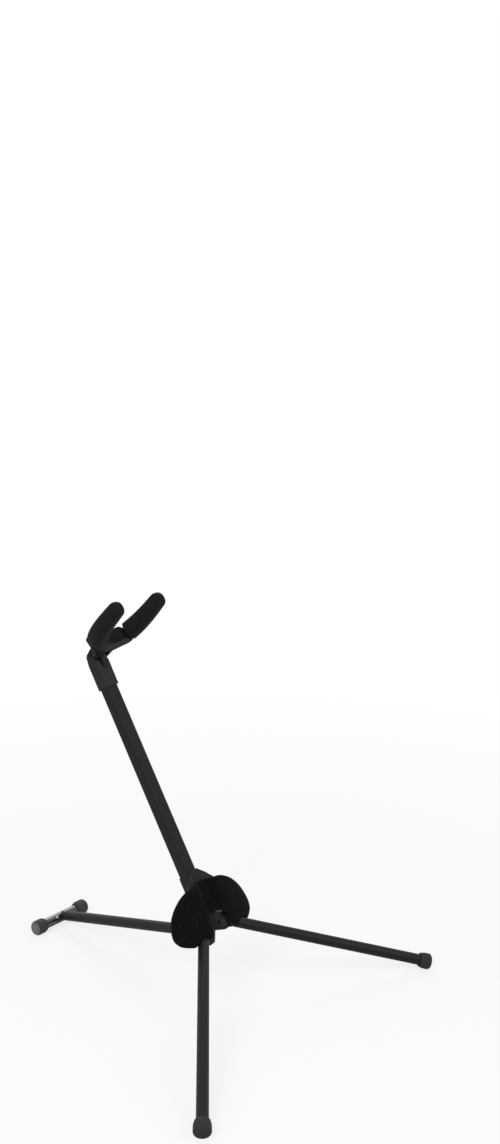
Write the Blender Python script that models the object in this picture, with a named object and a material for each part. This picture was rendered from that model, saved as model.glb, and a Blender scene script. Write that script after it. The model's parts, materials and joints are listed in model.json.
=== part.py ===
"""Folding in-bell saxophone stand: three folding legs on a moulded hub, a padded saddle
for the bow, a square arm and a padded fork for the bell.

Metres, +Z up. The floor is Z = 0. +X points from the T-foot leg to the two rear legs and the
object is symmetric about Y = 0. Most sizes are measured in the hub frame, whose origin is on
the floor under the hub's axis; the stand_root empty shifts that frame along X so that the
origin of the whole part is the centre of its footprint.
"""
import math

import bmesh
import bpy
from mathutils import Matrix, Vector

MM = 0.001
FIT = 0.3 * MM            # clearance between pieces that touch
ROUND = 20                # facets round a tube
ROUND_SMALL = 14          # facets round a pin, a screw or a hole

# --- legs ------------------------------------------------------------------------------------
LEG_D = 12.0 * MM         # outer diameter of the leg tubes
LEG_WALL = 1.2 * MM
PIN_D = 5.0 * MM          # leg pivot pins
PIN_HEAD_D = 8.4 * MM
PIN_HEAD_H = 1.6 * MM
WASHER_H = 0.8 * MM
SPIGOT_LENGTH = 18.0 * MM  # part of a knuckle that plugs into its tube
COLLAR_LENGTH = 3.0 * MM   # shoulder that the tube end meets

REAR_SPREAD = math.radians(49.0)    # rear legs stand this far either side of +X
REAR_PIVOT_R = 20.0 * MM            # pivot pins, from the hub axis
REAR_PIVOT_Z = 80.7 * MM
REAR_FOOT_R = 253.6 * MM            # foot centre, from the hub axis
REAR_FOLD = math.radians(72.0)       # down, until the leg hangs below the hub

T_PIVOT_R = 20.0 * MM
T_PIVOT_Z = 62.1 * MM
T_REACH = 236.7 * MM                # crossbar axis, from the hub axis
T_FOLD = math.radians(76.0)
EYE_R = 6.3 * MM                    # rounded end of a knuckle's blade
BLADE_T = 9.0 * MM
NECK_LENGTH = 15.0 * MM             # from a pivot pin to the end of its tube

# --- feet ------------------------------------------------------------------------------------
FOOT_R = 9.1 * MM                   # bulb of a rear foot cap
FOOT_LENGTH = 21.0 * MM
FOOT_SINK = 0.3 * MM                # worn flat under each rubber foot
BAR_D = 12.0 * MM                   # crossbar of the T foot
BAR_LENGTH = 71.5 * MM
BAR_GROOVE = 0.5 * MM               # depth of its two grooves
BAR_CAP_R = 8.8 * MM
BAR_CAP_LENGTH = 15.0 * MM
BAR_CAP_END = 4.0 * MM              # rubber past the end of the bar
T_JOIN_RISE = 3.0 * MM              # the T leg's axis passes this far above the crossbar's

# Each leg slopes from its pivot to its foot.
REAR_SLOPE = math.atan2(REAR_PIVOT_Z - FOOT_R + FOOT_SINK, REAR_FOOT_R - REAR_PIVOT_R)
T_SLOPE = math.atan2(T_PIVOT_Z - T_JOIN_RISE - BAR_CAP_R + FOOT_SINK, T_REACH - T_PIVOT_R)

# --- hub -------------------------------------------------------------------------------------
HUB_R = 12.6 * MM
HUB_Z0 = 54.5 * MM
HUB_Z1 = 96.0 * MM
LUG_R = 9.0 * MM
LUG_CHEEK = 4.2 * MM
LUG_BROW = 9.6 * MM                 # top of a lug, over its pin: the leg stops under it
SLOT_GAP = 0.7 * MM                 # round the blade's eye
SLOT_SLACK = math.radians(4.0)      # room past the folded end of the range

# --- arm -------------------------------------------------------------------------------------
ARM_LEAN = math.radians(31.7)
ARM_X, ARM_Z = -6.0 * MM, 100.0 * MM   # a point on the arm's axis, in the hub frame
ARM_SIZE = 15.0 * MM
ARM_WALL = 1.4 * MM
ARM_CORNER = 2.2 * MM
ARM_START = 26.0 * MM                  # tube ends, along the axis from that point
ARM_END = 283.0 * MM
BOSS_SIZE = 17.6 * MM
BOSS_START = -18.0 * MM
BOSS_END = 8.0 * MM
SOCKET_SIZE = 12.0 * MM
SOCKET_START = -14.0 * MM
ARM_COLLAR = 16.8 * MM
ARM_COLLAR_H = 14.5 * MM
ARM_PLUG_LENGTH = 24.0 * MM

# --- saddle ----------------------------------------------------------------------------------
SADDLE_TOP = 37.0 * MM                 # along the arm's axis
SADDLE_HALF_W = 60.0 * MM
SADDLE_BEND_R = 150.0 * MM             # the wings fall back on this radius
WING_LIFT = 4.0 * MM                   # the wings step forward over the hub's lugs
VALLEY_HALF_W = 7.0 * MM               # flat strip on the middle line
WING_START = 13.0 * MM                 # from here the wings are at their full height
SHELL_T = 2.4 * MM
PAD_T = 5.0 * MM
VALLEY_T = 2.6 * MM                    # padding on the middle strip
PAD_CROWN = 2.0 * MM                   # extra padding out on each wing
PAD_MARGIN = 2.2 * MM                  # the pad overhangs its shell
PAD_TOP = 22.0 * MM                    # above this the shell's tab is bare
SCREW_D = 4.0 * MM
SCREW_HEAD_D = 7.0 * MM
SCREW_HEAD_H = 1.2 * MM
SCREW_LENGTH = 10.5 * MM
SCREW_PLACES = (-7.0 * MM, 3.0 * MM)   # along the arm's axis
TONGUE_END = -16.0 * MM                # the middle strip stops above the hub's lugs
NOTCH_HALF_W = 13.0 * MM               # from there the wings stand apart
WING_END = -38.0 * MM
LEG_ROOM = 0.6 * MM                    # round each rear leg where it leaves under a wing

# --- yoke ------------------------------------------------------------------------------------
SLEEVE_W = 17.0 * MM
SLEEVE_D = 18.0 * MM
SLEEVE_GRIP = 25.5 * MM                # sleeve over the arm's end
SLEEVE_START = ARM_END - SLEEVE_GRIP
YOKE_PIN_T = ARM_END + 15.6 * MM       # yoke pin, along the arm's axis
YOKE_PIN_F = 10.1 * MM                 # and in front of it
YOKE_PIN_D = 4.4 * MM
YOKE_EAR_R = 7.8 * MM
YOKE_TONGUE = 8.0 * MM
YOKE_TILT = math.radians(44.4)         # prongs, from vertical, towards +X
YOKE_FOLD = math.radians(50.0)
SLOT_DEPTH = 10.2 * MM                 # the fork's slot for the tongue, past its pin
YOKE_HEAD_D = 7.4 * MM
FLARE_HALF_T = 8.6 * MM                # the fork's web, square to its plane
FLARE_FOOT = 9.6 * MM                  # heights up its outline, from the pin
FLARE_RISE = 13.8 * MM
FLARE_SHOULDER = 18.0 * MM
FLARE_BROW = 24.2 * MM
FLARE_TOP = 26.4 * MM
FLARE_HORN = 32.4 * MM
PRONG_Y = 32.0 * MM
PRONG_END = 95.0 * MM                  # prong tip from the yoke pin
PRONG_START = 29.0 * MM
PRONG_HALF_W = 10.0 * MM               # padded section: across the prong, in the fork's plane
PRONG_HALF_D = 11.3 * MM               # and square to it
PRONG_CORE = 5.0 * MM                  # half size of the bar inside
PRONG_TAPER = 0.80
PAD_RING = 4                           # the padding starts at this ring of the prong's path

# The footprint's middle in X, so that the part's origin is the centre of its floor area.
HUB_X = 0.5 * (T_REACH + BAR_CAP_R - REAR_FOOT_R * math.cos(REAR_SPREAD) - FOOT_R)


# --- materials -------------------------------------------------------------------------------
def material(name, colour, roughness, metallic):
    made = bpy.data.materials.new(name)
    made.use_nodes = True
    shader = made.node_tree.nodes["Principled BSDF"]
    shader.inputs["Base Color"].default_value = (*colour, 1.0)
    shader.inputs["Roughness"].default_value = roughness
    shader.inputs["Metallic"].default_value = metallic
    made.diffuse_color = (*colour, 1.0)
    return made


def black_enamel():
    return material("black_enamel", (0.021, 0.021, 0.023), 0.42, 0.0)


def slate_enamel():
    return material("slate_enamel", (0.045, 0.045, 0.052), 0.38, 0.0)


def moulded_black():
    return material("moulded_black", (0.020, 0.020, 0.021), 0.50, 0.0)


def velvet_black():
    return material("velvet_black", (0.006, 0.006, 0.007), 0.95, 0.0)


def foam_black():
    return material("foam_black", (0.022, 0.022, 0.024), 0.80, 0.0)


def foot_rubber():
    return material("foot_rubber", (0.055, 0.055, 0.058), 0.75, 0.0)


def gloss_bar():
    return material("gloss_bar", (0.018, 0.018, 0.020), 0.16, 0.0)


def black_steel():
    return material("black_steel", (0.10, 0.10, 0.105), 0.34, 0.9)


# --- mesh helpers ----------------------------------------------------------------------------
def finish_object(name, mesh_data, finish, matrix, parent):
    """Make one object from a bmesh, shade its round faces smooth and put it in place."""
    bmesh.ops.recalc_face_normals(mesh_data, faces=mesh_data.faces)
    mesh = bpy.data.meshes.new(name)
    mesh_data.to_mesh(mesh)
    mesh_data.free()
    mesh.shade_smooth()
    mesh.set_sharp_from_angle(angle=math.radians(32.0))
    obj = bpy.data.objects.new(name, mesh)
    if finish is not None:
        mesh.materials.append(finish)
    bpy.context.scene.collection.objects.link(obj)
    obj.parent = parent
    obj.matrix_local = matrix
    return obj


def stack_rings(rings, closed=False):
    """A skin over equal rings of points: capped at both ends, or closed into a loop."""
    skin = bmesh.new()
    loops = [[skin.verts.new(point) for point in ring] for ring in rings]
    count = len(loops[0])
    pairs = list(zip(loops, loops[1:]))
    if closed:
        pairs.append((loops[-1], loops[0]))
    for low, high in pairs:
        for i in range(count):
            j = (i + 1) % count
            skin.faces.new((low[i], low[j], high[j], high[i]))
    if not closed:
        skin.faces.new(list(reversed(loops[0])))
        skin.faces.new(loops[-1])
    return skin


def turned(profile, facets=ROUND, closed=False):
    """Turn (radius, z) points about Z; a closed profile makes an open-ended tube."""
    angles = [2.0 * math.pi * i / facets for i in range(facets)]
    rings = [[(r * math.cos(a), r * math.sin(a), z) for a in angles] for r, z in profile]
    return stack_rings(rings, closed)


def pipe_profile(radius, wall, z0, z1, edge=0.3 * MM):
    """Section of a tube whose outer rims are eased."""
    inner = radius - wall
    return [(inner, z0), (radius - edge, z0), (radius, z0 + edge),
            (radius, z1 - edge), (radius - edge, z1), (inner, z1)]


def rod_profile(radius, z0, z1, edge=0.3 * MM):
    return [(radius - edge, z0), (radius, z0 + edge), (radius, z1 - edge), (radius - edge, z1)]


def prism(outline, z0, z1, edge=0.0):
    """Extrude an outline in X and Y from z0 to z1, with both rims chamfered by edge."""
    if edge <= 0.0:
        return stack_rings([[(x, y, z0) for x, y in outline], [(x, y, z1) for x, y in outline]])
    inner = inset_outline(outline, edge)
    return stack_rings([[(x, y, z0) for x, y in inner], [(x, y, z0 + edge) for x, y in outline],
                        [(x, y, z1 - edge) for x, y in outline], [(x, y, z1) for x, y in inner]])


def inset_outline(outline, distance):
    """Move every point of a counter-clockwise outline inwards along its corner's bisector."""
    count = len(outline)
    moved = []
    for i in range(count):
        before = Vector(outline[i - 1])
        here = Vector(outline[i])
        after = Vector(outline[(i + 1) % count])
        first = (here - before).normalized()
        second = (after - here).normalized()
        normal = Vector((-first.y - second.y, first.x + second.x)).normalized()
        stretch = max(0.5, normal.dot(Vector((-first.y, first.x))))
        moved.append(tuple(here + normal * (distance / stretch)))
    return moved


def rounded_rectangle(width, height, corner, steps=3):
    """Counter-clockwise outline centred on the origin."""
    points = []
    for quarter in range(4):
        cx = (0.5 * width - corner) * (1 if quarter in (0, 3) else -1)
        cy = (0.5 * height - corner) * (1 if quarter in (0, 1) else -1)
        for i in range(steps + 1):
            a = math.radians(90.0 * (quarter + i / steps))
            points.append((cx + corner * math.cos(a), cy + corner * math.sin(a)))
    return points


def circle(radius, facets=ROUND_SMALL, cx=0.0, cy=0.0):
    return [(cx + radius * math.cos(2.0 * math.pi * i / facets),
             cy + radius * math.sin(2.0 * math.pi * i / facets)) for i in range(facets)]


def arc(radius, start, end, steps, cx=0.0, cy=0.0):
    """Points on an arc, angles in radians, both ends included."""
    return [(cx + radius * math.cos(start + (end - start) * i / steps),
             cy + radius * math.sin(start + (end - start) * i / steps)) for i in range(steps + 1)]


def smooth_curve(points, steps):
    """A Catmull-Rom curve through the points, which keeps both end points."""
    knots = [Vector(p) for p in points]
    padded = [2.0 * knots[0] - knots[1]] + knots + [2.0 * knots[-1] - knots[-2]]
    curve = []
    for i in range(len(knots) - 1):
        a, b, c, d = padded[i:i + 4]
        for k in range(steps):
            t = k / steps
            curve.append(tuple(0.5 * ((2 * b) + (c - a) * t + (2 * a - 5 * b + 4 * c - d) * t ** 2
                                      + (3 * b - a - 3 * c + d) * t ** 3)))
    curve.append(tuple(knots[-1]))
    return curve


def combine(obj, other, operation):
    """Join or cut obj with another object and apply it; the helper object is removed."""
    bpy.context.view_layer.update()
    step = obj.modifiers.new(operation.lower(), "BOOLEAN")
    step.operation = operation
    step.solver = "EXACT"
    step.object = other
    bpy.context.view_layer.update()
    evaluated = obj.evaluated_get(bpy.context.evaluated_depsgraph_get())
    result = bpy.data.meshes.new_from_object(evaluated)
    obj.modifiers.clear()
    old = obj.data
    obj.data = result
    bpy.data.meshes.remove(old)
    bpy.data.objects.remove(other)
    obj.data.shade_smooth()
    obj.data.set_sharp_from_angle(angle=math.radians(32.0))


def helper(mesh_data, matrix, parent):
    """An unfinished body that another object is joined to or cut by."""
    obj = finish_object("helper", mesh_data, None, matrix, parent)
    obj.hide_render = True
    obj.display_type = "WIRE"
    return obj


def cut(obj, mesh_data, matrix):
    combine(obj, helper(mesh_data, matrix, obj.parent), "DIFFERENCE")


def join(obj, mesh_data, matrix):
    combine(obj, helper(mesh_data, matrix, obj.parent), "UNION")


# --- frames ----------------------------------------------------------------------------------
def frame(origin, x_axis, z_axis):
    """A placing matrix from an origin, its Z axis and roughly its X axis."""
    z = Vector(z_axis).normalized()
    y = z.cross(Vector(x_axis)).normalized()
    x = y.cross(z)
    placed = Matrix((x, y, z)).transposed().to_4x4()
    placed.translation = Vector(origin)
    return placed


def arm_frame():
    """Origin on the arm's axis: X across the stand, Y behind the arm, Z up along it."""
    along = Vector((-math.sin(ARM_LEAN), 0.0, math.cos(ARM_LEAN)))
    return frame((ARM_X, 0.0, ARM_Z), (0.0, 1.0, 0.0), along)


def arm_point(along, front):
    """Hub-frame point at a distance along the arm's axis and in front of it."""
    return Vector((ARM_X - along * math.sin(ARM_LEAN) + front * math.cos(ARM_LEAN), 0.0,
                   ARM_Z + along * math.cos(ARM_LEAN) + front * math.sin(ARM_LEAN)))


def rear_pivot(side):
    return Vector((REAR_PIVOT_R * math.cos(REAR_SPREAD),
                   side * REAR_PIVOT_R * math.sin(REAR_SPREAD), REAR_PIVOT_Z))


def rear_direction(side):
    return Vector((math.cos(REAR_SLOPE) * math.cos(REAR_SPREAD),
                   side * math.cos(REAR_SLOPE) * math.sin(REAR_SPREAD), -math.sin(REAR_SLOPE)))


def t_pivot():
    return Vector((-T_PIVOT_R, 0.0, T_PIVOT_Z))


def t_direction():
    return Vector((-math.cos(T_SLOPE), 0.0, -math.sin(T_SLOPE)))


def yoke_pivot():
    return arm_point(YOKE_PIN_T, YOKE_PIN_F)


def empty(name, location, parent):
    obj = bpy.data.objects.new(name, None)
    obj.empty_display_size = 0.02
    bpy.context.scene.collection.objects.link(obj)
    obj.parent = parent
    obj.location = location
    return obj


# --- hub -------------------------------------------------------------------------------------
def clevis_frame(pivot, heading):
    """Z along the pin, X outwards and level, Y upwards or downwards with the side."""
    outwards = (math.cos(heading), math.sin(heading), 0.0)
    return frame(pivot, outwards, (math.sin(heading), -math.cos(heading), 0.0))


def lug_outline(reach):
    """A lug from the hub's axis: round at the pin, with a brow that the leg stops under."""
    nose = arc(LUG_R, math.radians(-90.0), math.radians(25.0), 8)
    brow = [(0.86 * LUG_R, 0.82 * LUG_BROW), (0.45 * LUG_R, LUG_BROW)]
    return [(-reach, -LUG_R)] + nose + brow + [(-reach, LUG_BROW)]


def swing_outline(start, sweep, reach):
    """Area swept by a blade that turns about the origin from start by sweep."""
    radius = EYE_R + SLOT_GAP
    first = start - SLOT_SLACK
    last = start + sweep
    back = arc(radius, last + 0.5 * math.pi, first + 1.5 * math.pi, 12)
    far = []
    for i in range(5):
        a = first + (last - first) * i / 4
        far.append((reach * math.cos(a), reach * math.sin(a)))
    side = Vector((math.sin(first), -math.cos(first))) * radius
    top = Vector((-math.sin(last), math.cos(last))) * radius
    low = Vector(far[0]) + side
    high = Vector(far[-1]) + top
    return back + [tuple(low)] + far + [tuple(high)]


def legs():
    """Pivot, heading, slope and fold of each leg: T foot, near rear and far rear."""
    return (("t_leg", t_pivot(), math.pi, T_SLOPE, T_FOLD),
            ("near_leg", rear_pivot(-1.0), -REAR_SPREAD, REAR_SLOPE, REAR_FOLD),
            ("far_leg", rear_pivot(1.0), REAR_SPREAD, REAR_SLOPE, REAR_FOLD))


def hub_body(root, finish):
    """The moulded hub: a core, a clevis for each leg and a sloping boss for the arm."""
    core = turned([(HUB_R - 2.0 * MM, HUB_Z0), (HUB_R, HUB_Z0 + 2.0 * MM),
                   (HUB_R, HUB_Z1 - 2.0 * MM), (HUB_R - 2.0 * MM, HUB_Z1)])
    hub = finish_object("hub_body", core, finish, Matrix.Identity(4), root)
    boss = rounded_rectangle(BOSS_SIZE, BOSS_SIZE, 3.0 * MM)
    join(hub, prism(boss, BOSS_START, BOSS_END, 0.6 * MM), arm_frame())
    half = 0.5 * BLADE_T + FIT + LUG_CHEEK
    for _, pivot, heading, _, _ in legs():
        outline = lug_outline(Vector((pivot.x, pivot.y)).length)
        join(hub, prism(outline, -half, half, 0.8 * MM), clevis_frame(pivot, heading))
    for _, pivot, heading, slope, fold in legs():
        place = clevis_frame(pivot, heading)
        gap = 0.5 * BLADE_T + FIT
        cut(hub, prism(swing_outline(-slope - fold, fold, 40.0 * MM), -gap, gap), place)
        cut(hub, prism(circle(0.5 * PIN_D + FIT), -2.0 * half, 2.0 * half), place)
    socket = rounded_rectangle(SOCKET_SIZE, SOCKET_SIZE, 1.6 * MM)
    cut(hub, prism(socket, SOCKET_START, BOSS_END + 5.0 * MM), arm_frame())
    reach = 40.0 * MM
    room = prism([(-reach, -reach), (reach, -reach), (reach, SADDLE_TOP), (-reach, SADDLE_TOP)],
                 -FIT, reach)
    bend(room, False)
    cut(hub, room, saddle_frame(0.5 * BOSS_SIZE + FIT))
    for along in SCREW_PLACES:
        bore = prism(circle(0.5 * SCREW_D + FIT), -BOSS_SIZE, 0.0)
        cut(hub, bore, front_frame(along, BOSS_SIZE))
    return hub


def front_frame(along, front):
    """Origin in front of the arm's axis, Z pointing away from the arm."""
    normal = (math.cos(ARM_LEAN), 0.0, math.sin(ARM_LEAN))
    return frame(arm_point(along, front), (0.0, 1.0, 0.0), normal)


# --- legs ------------------------------------------------------------------------------------
def blade_frame(pivot, heading, slope):
    """Z along the pin, X down the leg."""
    down = (math.cos(slope) * math.cos(heading), math.cos(slope) * math.sin(heading),
            -math.sin(slope))
    return frame(pivot, down, (math.sin(heading), -math.cos(heading), 0.0))


def leg_frame(pivot, heading, slope):
    """Z down the leg, X along the pin."""
    down = (math.cos(slope) * math.cos(heading), math.cos(slope) * math.sin(heading),
            -math.sin(slope))
    return frame(pivot, (math.sin(heading), -math.cos(heading), 0.0), down)


def relative(matrix, pivot):
    """The same placing, measured from a pivot that the object hangs on."""
    return Matrix.Translation(-pivot) @ matrix


def knuckle(name, pivot, heading, slope, holder, finish):
    """Blade with an eye for the pin, a shoulder and a spigot inside the leg tube."""
    half = 0.5 * BLADE_T
    shoulder = NECK_LENGTH - COLLAR_LENGTH
    eye = arc(EYE_R, math.radians(90.0), math.radians(270.0), 12)
    outline = eye + [(shoulder, -0.88 * EYE_R), (shoulder, 0.88 * EYE_R)]
    blade = prism(outline, -half, half, 0.5 * MM)
    place = relative(blade_frame(pivot, heading, slope), pivot)
    obj = finish_object(name, blade, finish, place, holder)
    radius = 0.5 * LEG_D
    inner = radius - LEG_WALL - FIT
    spigot = turned([(0.7 * radius, shoulder - 2.0 * MM), (radius, shoulder),
                     (radius, NECK_LENGTH - FIT), (inner, NECK_LENGTH - FIT),
                     (inner, NECK_LENGTH + SPIGOT_LENGTH - 1.0 * MM),
                     (inner - 1.0 * MM, NECK_LENGTH + SPIGOT_LENGTH)])
    join(obj, spigot, relative(leg_frame(pivot, heading, slope), pivot))
    cut(obj, prism(circle(0.5 * PIN_D + FIT), -2.0 * half, 2.0 * half), place)


def pivot_pin(name, place, reach, shank_d, head_d, parent, finish):
    """A pin through two cheeks: a domed head on one side and room for a nut on the other."""
    face = reach + FIT
    radius = 0.5 * shank_d
    head = 0.5 * head_d
    profile = [(radius - 0.4 * MM, -face - 3.4 * MM), (radius, -face - 3.0 * MM), (radius, face),
               (head, face), (head, face + 0.5 * PIN_HEAD_H),
               (0.62 * head, face + PIN_HEAD_H)]
    return finish_object(name, turned(profile, ROUND_SMALL), finish, place, parent)


def pivot_nut(name, place, reach, shank_d, parent, finish):
    """A lock nut outside the second cheek: hexagon with a chamfered rim and a through hole."""
    face = reach + FIT
    across = 0.5 * shank_d + FIT
    facets = 6 * 2
    corner = across + 2.1 * MM
    rings = []
    bore = [(across * math.cos(2 * math.pi * i / facets), across * math.sin(2 * math.pi * i / facets))
            for i in range(facets)]
    hexagon = []
    for i in range(facets):
        a = 2.0 * math.pi * i / facets
        flat = (a + math.pi / 6.0) % (math.pi / 3.0) - math.pi / 6.0
        size = corner * math.cos(math.pi / 6.0) / math.cos(flat)
        hexagon.append((size * math.cos(a), size * math.sin(a)))
    low, high = -face - 2.8 * MM, -face
    rings.append([(x, y, low) for x, y in bore])
    rings.append([(0.93 * x, 0.93 * y, low) for x, y in hexagon])
    rings.append([(x, y, low + 0.5 * MM) for x, y in hexagon])
    rings.append([(x, y, high) for x, y in hexagon])
    rings.append([(x, y, high) for x, y in bore])
    return finish_object(name, stack_rings(rings, closed=True), finish, place, parent)


def rear_foot(side):
    """Centre of a rear foot's bulb."""
    return Vector((REAR_FOOT_R * math.cos(REAR_SPREAD), side * REAR_FOOT_R * math.sin(REAR_SPREAD),
                   FOOT_R - FOOT_SINK))


def floor_cut(obj, root):
    """Flatten the underside where rubber rests on the floor."""
    size = 30.0 * MM
    slab = prism([(-size, -size), (size, -size), (size, size), (-size, size)], -size, 0.0)
    centre = obj.matrix_world.translation
    combine(obj, helper(slab, Matrix.Translation((centre.x - HUB_X, centre.y, 0.0)), root),
            "DIFFERENCE")


def foot_cap(name, centre, heading, slope, holder, pivot, root, finish):
    """A rubber bulb pushed over the end of a tube."""
    bore = 0.5 * LEG_D + FIT
    neck = bore + 1.3 * MM
    start = FOOT_R - FOOT_LENGTH
    bulb = arc(FOOT_R, math.radians(28.0), math.radians(-82.0), 8)
    outer = [(r, -z) for r, z in bulb]
    profile = [(bore - 0.6 * MM, -1.4 * MM), (bore, -2.0 * MM), (bore, start), (neck, start),
               (neck + 0.5 * MM, start + 1.2 * MM), (0.84 * FOOT_R, -8.0 * MM)] + outer
    place = relative(leg_frame(centre, heading, slope), pivot)
    cap = finish_object(name, turned(profile), finish, place, holder)
    bpy.context.view_layer.update()
    floor_cut(cap, root)


def rear_leg(name, side, holder, root, metal, rubber):
    pivot = rear_pivot(side)
    heading = side * REAR_SPREAD
    foot = rear_foot(side)
    end = (foot - pivot).length - 2.0 * MM - FIT - 0.6 * MM
    place = relative(leg_frame(pivot, heading, REAR_SLOPE), pivot)
    tube = turned(pipe_profile(0.5 * LEG_D, LEG_WALL, NECK_LENGTH, end), ROUND, closed=True)
    finish_object(name + "_tube", tube, metal, place, holder)
    foot_cap(name + "_foot_cap", foot, heading, REAR_SLOPE, holder, pivot, root, rubber)


# --- T foot ----------------------------------------------------------------------------------
def bar_centre():
    return Vector((-T_REACH, 0.0, BAR_CAP_R - FOOT_SINK))


def bar_outline():
    """Round bar with two shallow grooves down its length on the hub side."""
    points = []
    facets = 40
    for i in range(facets):
        a = 2.0 * math.pi * i / facets
        depth = 0.0
        for groove in (math.radians(-60.0), math.radians(-7.5)):
            if abs(math.atan2(math.sin(a - groove), math.cos(a - groove))) < math.radians(9.0):
                depth = BAR_GROOVE
        points.append(((0.5 * BAR_D - depth) * math.cos(a), (0.5 * BAR_D - depth) * math.sin(a)))
    return points


def bar_frame(y=0.0, end=1.0):
    """Z along the crossbar, X towards the hub."""
    return frame(bar_centre() + Vector((0.0, y, 0.0)), (1.0, 0.0, 0.0), (0.0, end, 0.0))


def t_tube(holder, metal, moulded, steel):
    """The T leg's tube, fitted over the crossbar, with the plug and screw that hold them."""
    pivot = t_pivot()
    place = relative(leg_frame(pivot, math.pi, T_SLOPE), pivot)
    length = (T_REACH - T_PIVOT_R) / math.cos(T_SLOPE)
    tube = turned(pipe_profile(0.5 * LEG_D, LEG_WALL, NECK_LENGTH, length), ROUND, closed=True)
    leg = finish_object("t_leg_tube", tube, metal, place, holder)
    nest = 0.5 * BAR_D + FIT
    cut(leg, prism(circle(nest, 32), -BAR_D, BAR_D), relative(bar_frame(), pivot))
    inner = 0.5 * LEG_D - LEG_WALL - FIT
    plug = turned(rod_profile(inner, length - 26.0 * MM, length - 1.0 * MM, 0.6 * MM))
    block = finish_object("t_leg_end_plug", plug, moulded, place, holder)
    cut(block, prism(circle(nest, 32), -BAR_D, BAR_D), relative(bar_frame(), pivot))
    screw_place = relative(t_screw_frame(), pivot)
    cut(block, prism(circle(0.5 * SCREW_D + FIT), 0.0, 24.0 * MM), screw_place)
    radius = 0.5 * SCREW_D
    head = 0.5 * SCREW_HEAD_D
    seat = 0.5 * BAR_D + 0.5 * MM
    profile = [(0.5 * head, -seat - 1.8 * MM), (head, -seat - 0.9 * MM), (head, -seat),
               (radius, -seat), (radius, 17.0 * MM), (radius - 0.6 * MM, 17.8 * MM)]
    finish_object("t_foot_screw", turned(profile, ROUND_SMALL), steel, screw_place, holder)


def t_screw_frame():
    """Z from the crossbar's axis into the end of the T leg."""
    return frame(bar_centre(), (0.0, 1.0, 0.0), -t_screw_direction())


def t_screw_direction():
    """From a point inside the leg's end back to the crossbar's axis."""
    inside = t_pivot() + t_direction() * ((T_REACH - T_PIVOT_R) / math.cos(T_SLOPE) - 20.0 * MM)
    return (bar_centre() - inside).normalized()


def t_foot(holder, root, gloss, rubber):
    """The crossbar and its two rubber caps."""
    pivot = t_pivot()
    half = 0.5 * BAR_LENGTH
    bar = finish_object("t_foot_bar", prism(bar_outline(), -half, half, 0.4 * MM), gloss,
                        relative(bar_frame(), pivot), holder)
    cut(bar, prism(circle(0.5 * SCREW_D + FIT), -BAR_D, BAR_D), relative(t_screw_frame(), pivot))
    spot = prism(circle(0.5 * SCREW_HEAD_D + FIT), -BAR_D, -0.5 * BAR_D + 0.9 * MM)
    cut(bar, spot, relative(t_screw_frame(), pivot))
    bore = 0.5 * BAR_D + FIT
    for label, side in (("near", -1.0), ("far", 1.0)):
        tip = half + BAR_CAP_END
        mouth = tip - BAR_CAP_LENGTH
        profile = [(bore - 0.4 * MM, half + FIT), (bore, half - 0.4 * MM), (bore, mouth),
                   (bore + 1.0 * MM, mouth), (BAR_CAP_R - 0.9 * MM, mouth + 1.2 * MM),
                   (BAR_CAP_R, mouth + 4.0 * MM), (BAR_CAP_R, tip - 2.2 * MM),
                   (BAR_CAP_R - 0.5 * MM, tip - 0.9 * MM), (BAR_CAP_R - 1.6 * MM, tip),
                   (BAR_CAP_R - 2.6 * MM, tip), (BAR_CAP_R - 3.0 * MM, tip - 0.4 * MM)]
        cap = finish_object("t_foot_" + label + "_cap", turned(profile), rubber,
                            relative(bar_frame(end=side), pivot), holder)
        bpy.context.view_layer.update()
        size = 30.0 * MM
        slab = prism([(-size, -size), (size, -size), (size, size), (-size, size)], -size, 0.0)
        place = Matrix.Translation((-T_REACH, side * half, 0.0))
        combine(cap, helper(slab, place, root), "DIFFERENCE")


# --- arm -------------------------------------------------------------------------------------
def square_ring(size, along, corner):
    return [(x, y, along) for x, y in rounded_rectangle(size, size, corner)]


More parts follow.
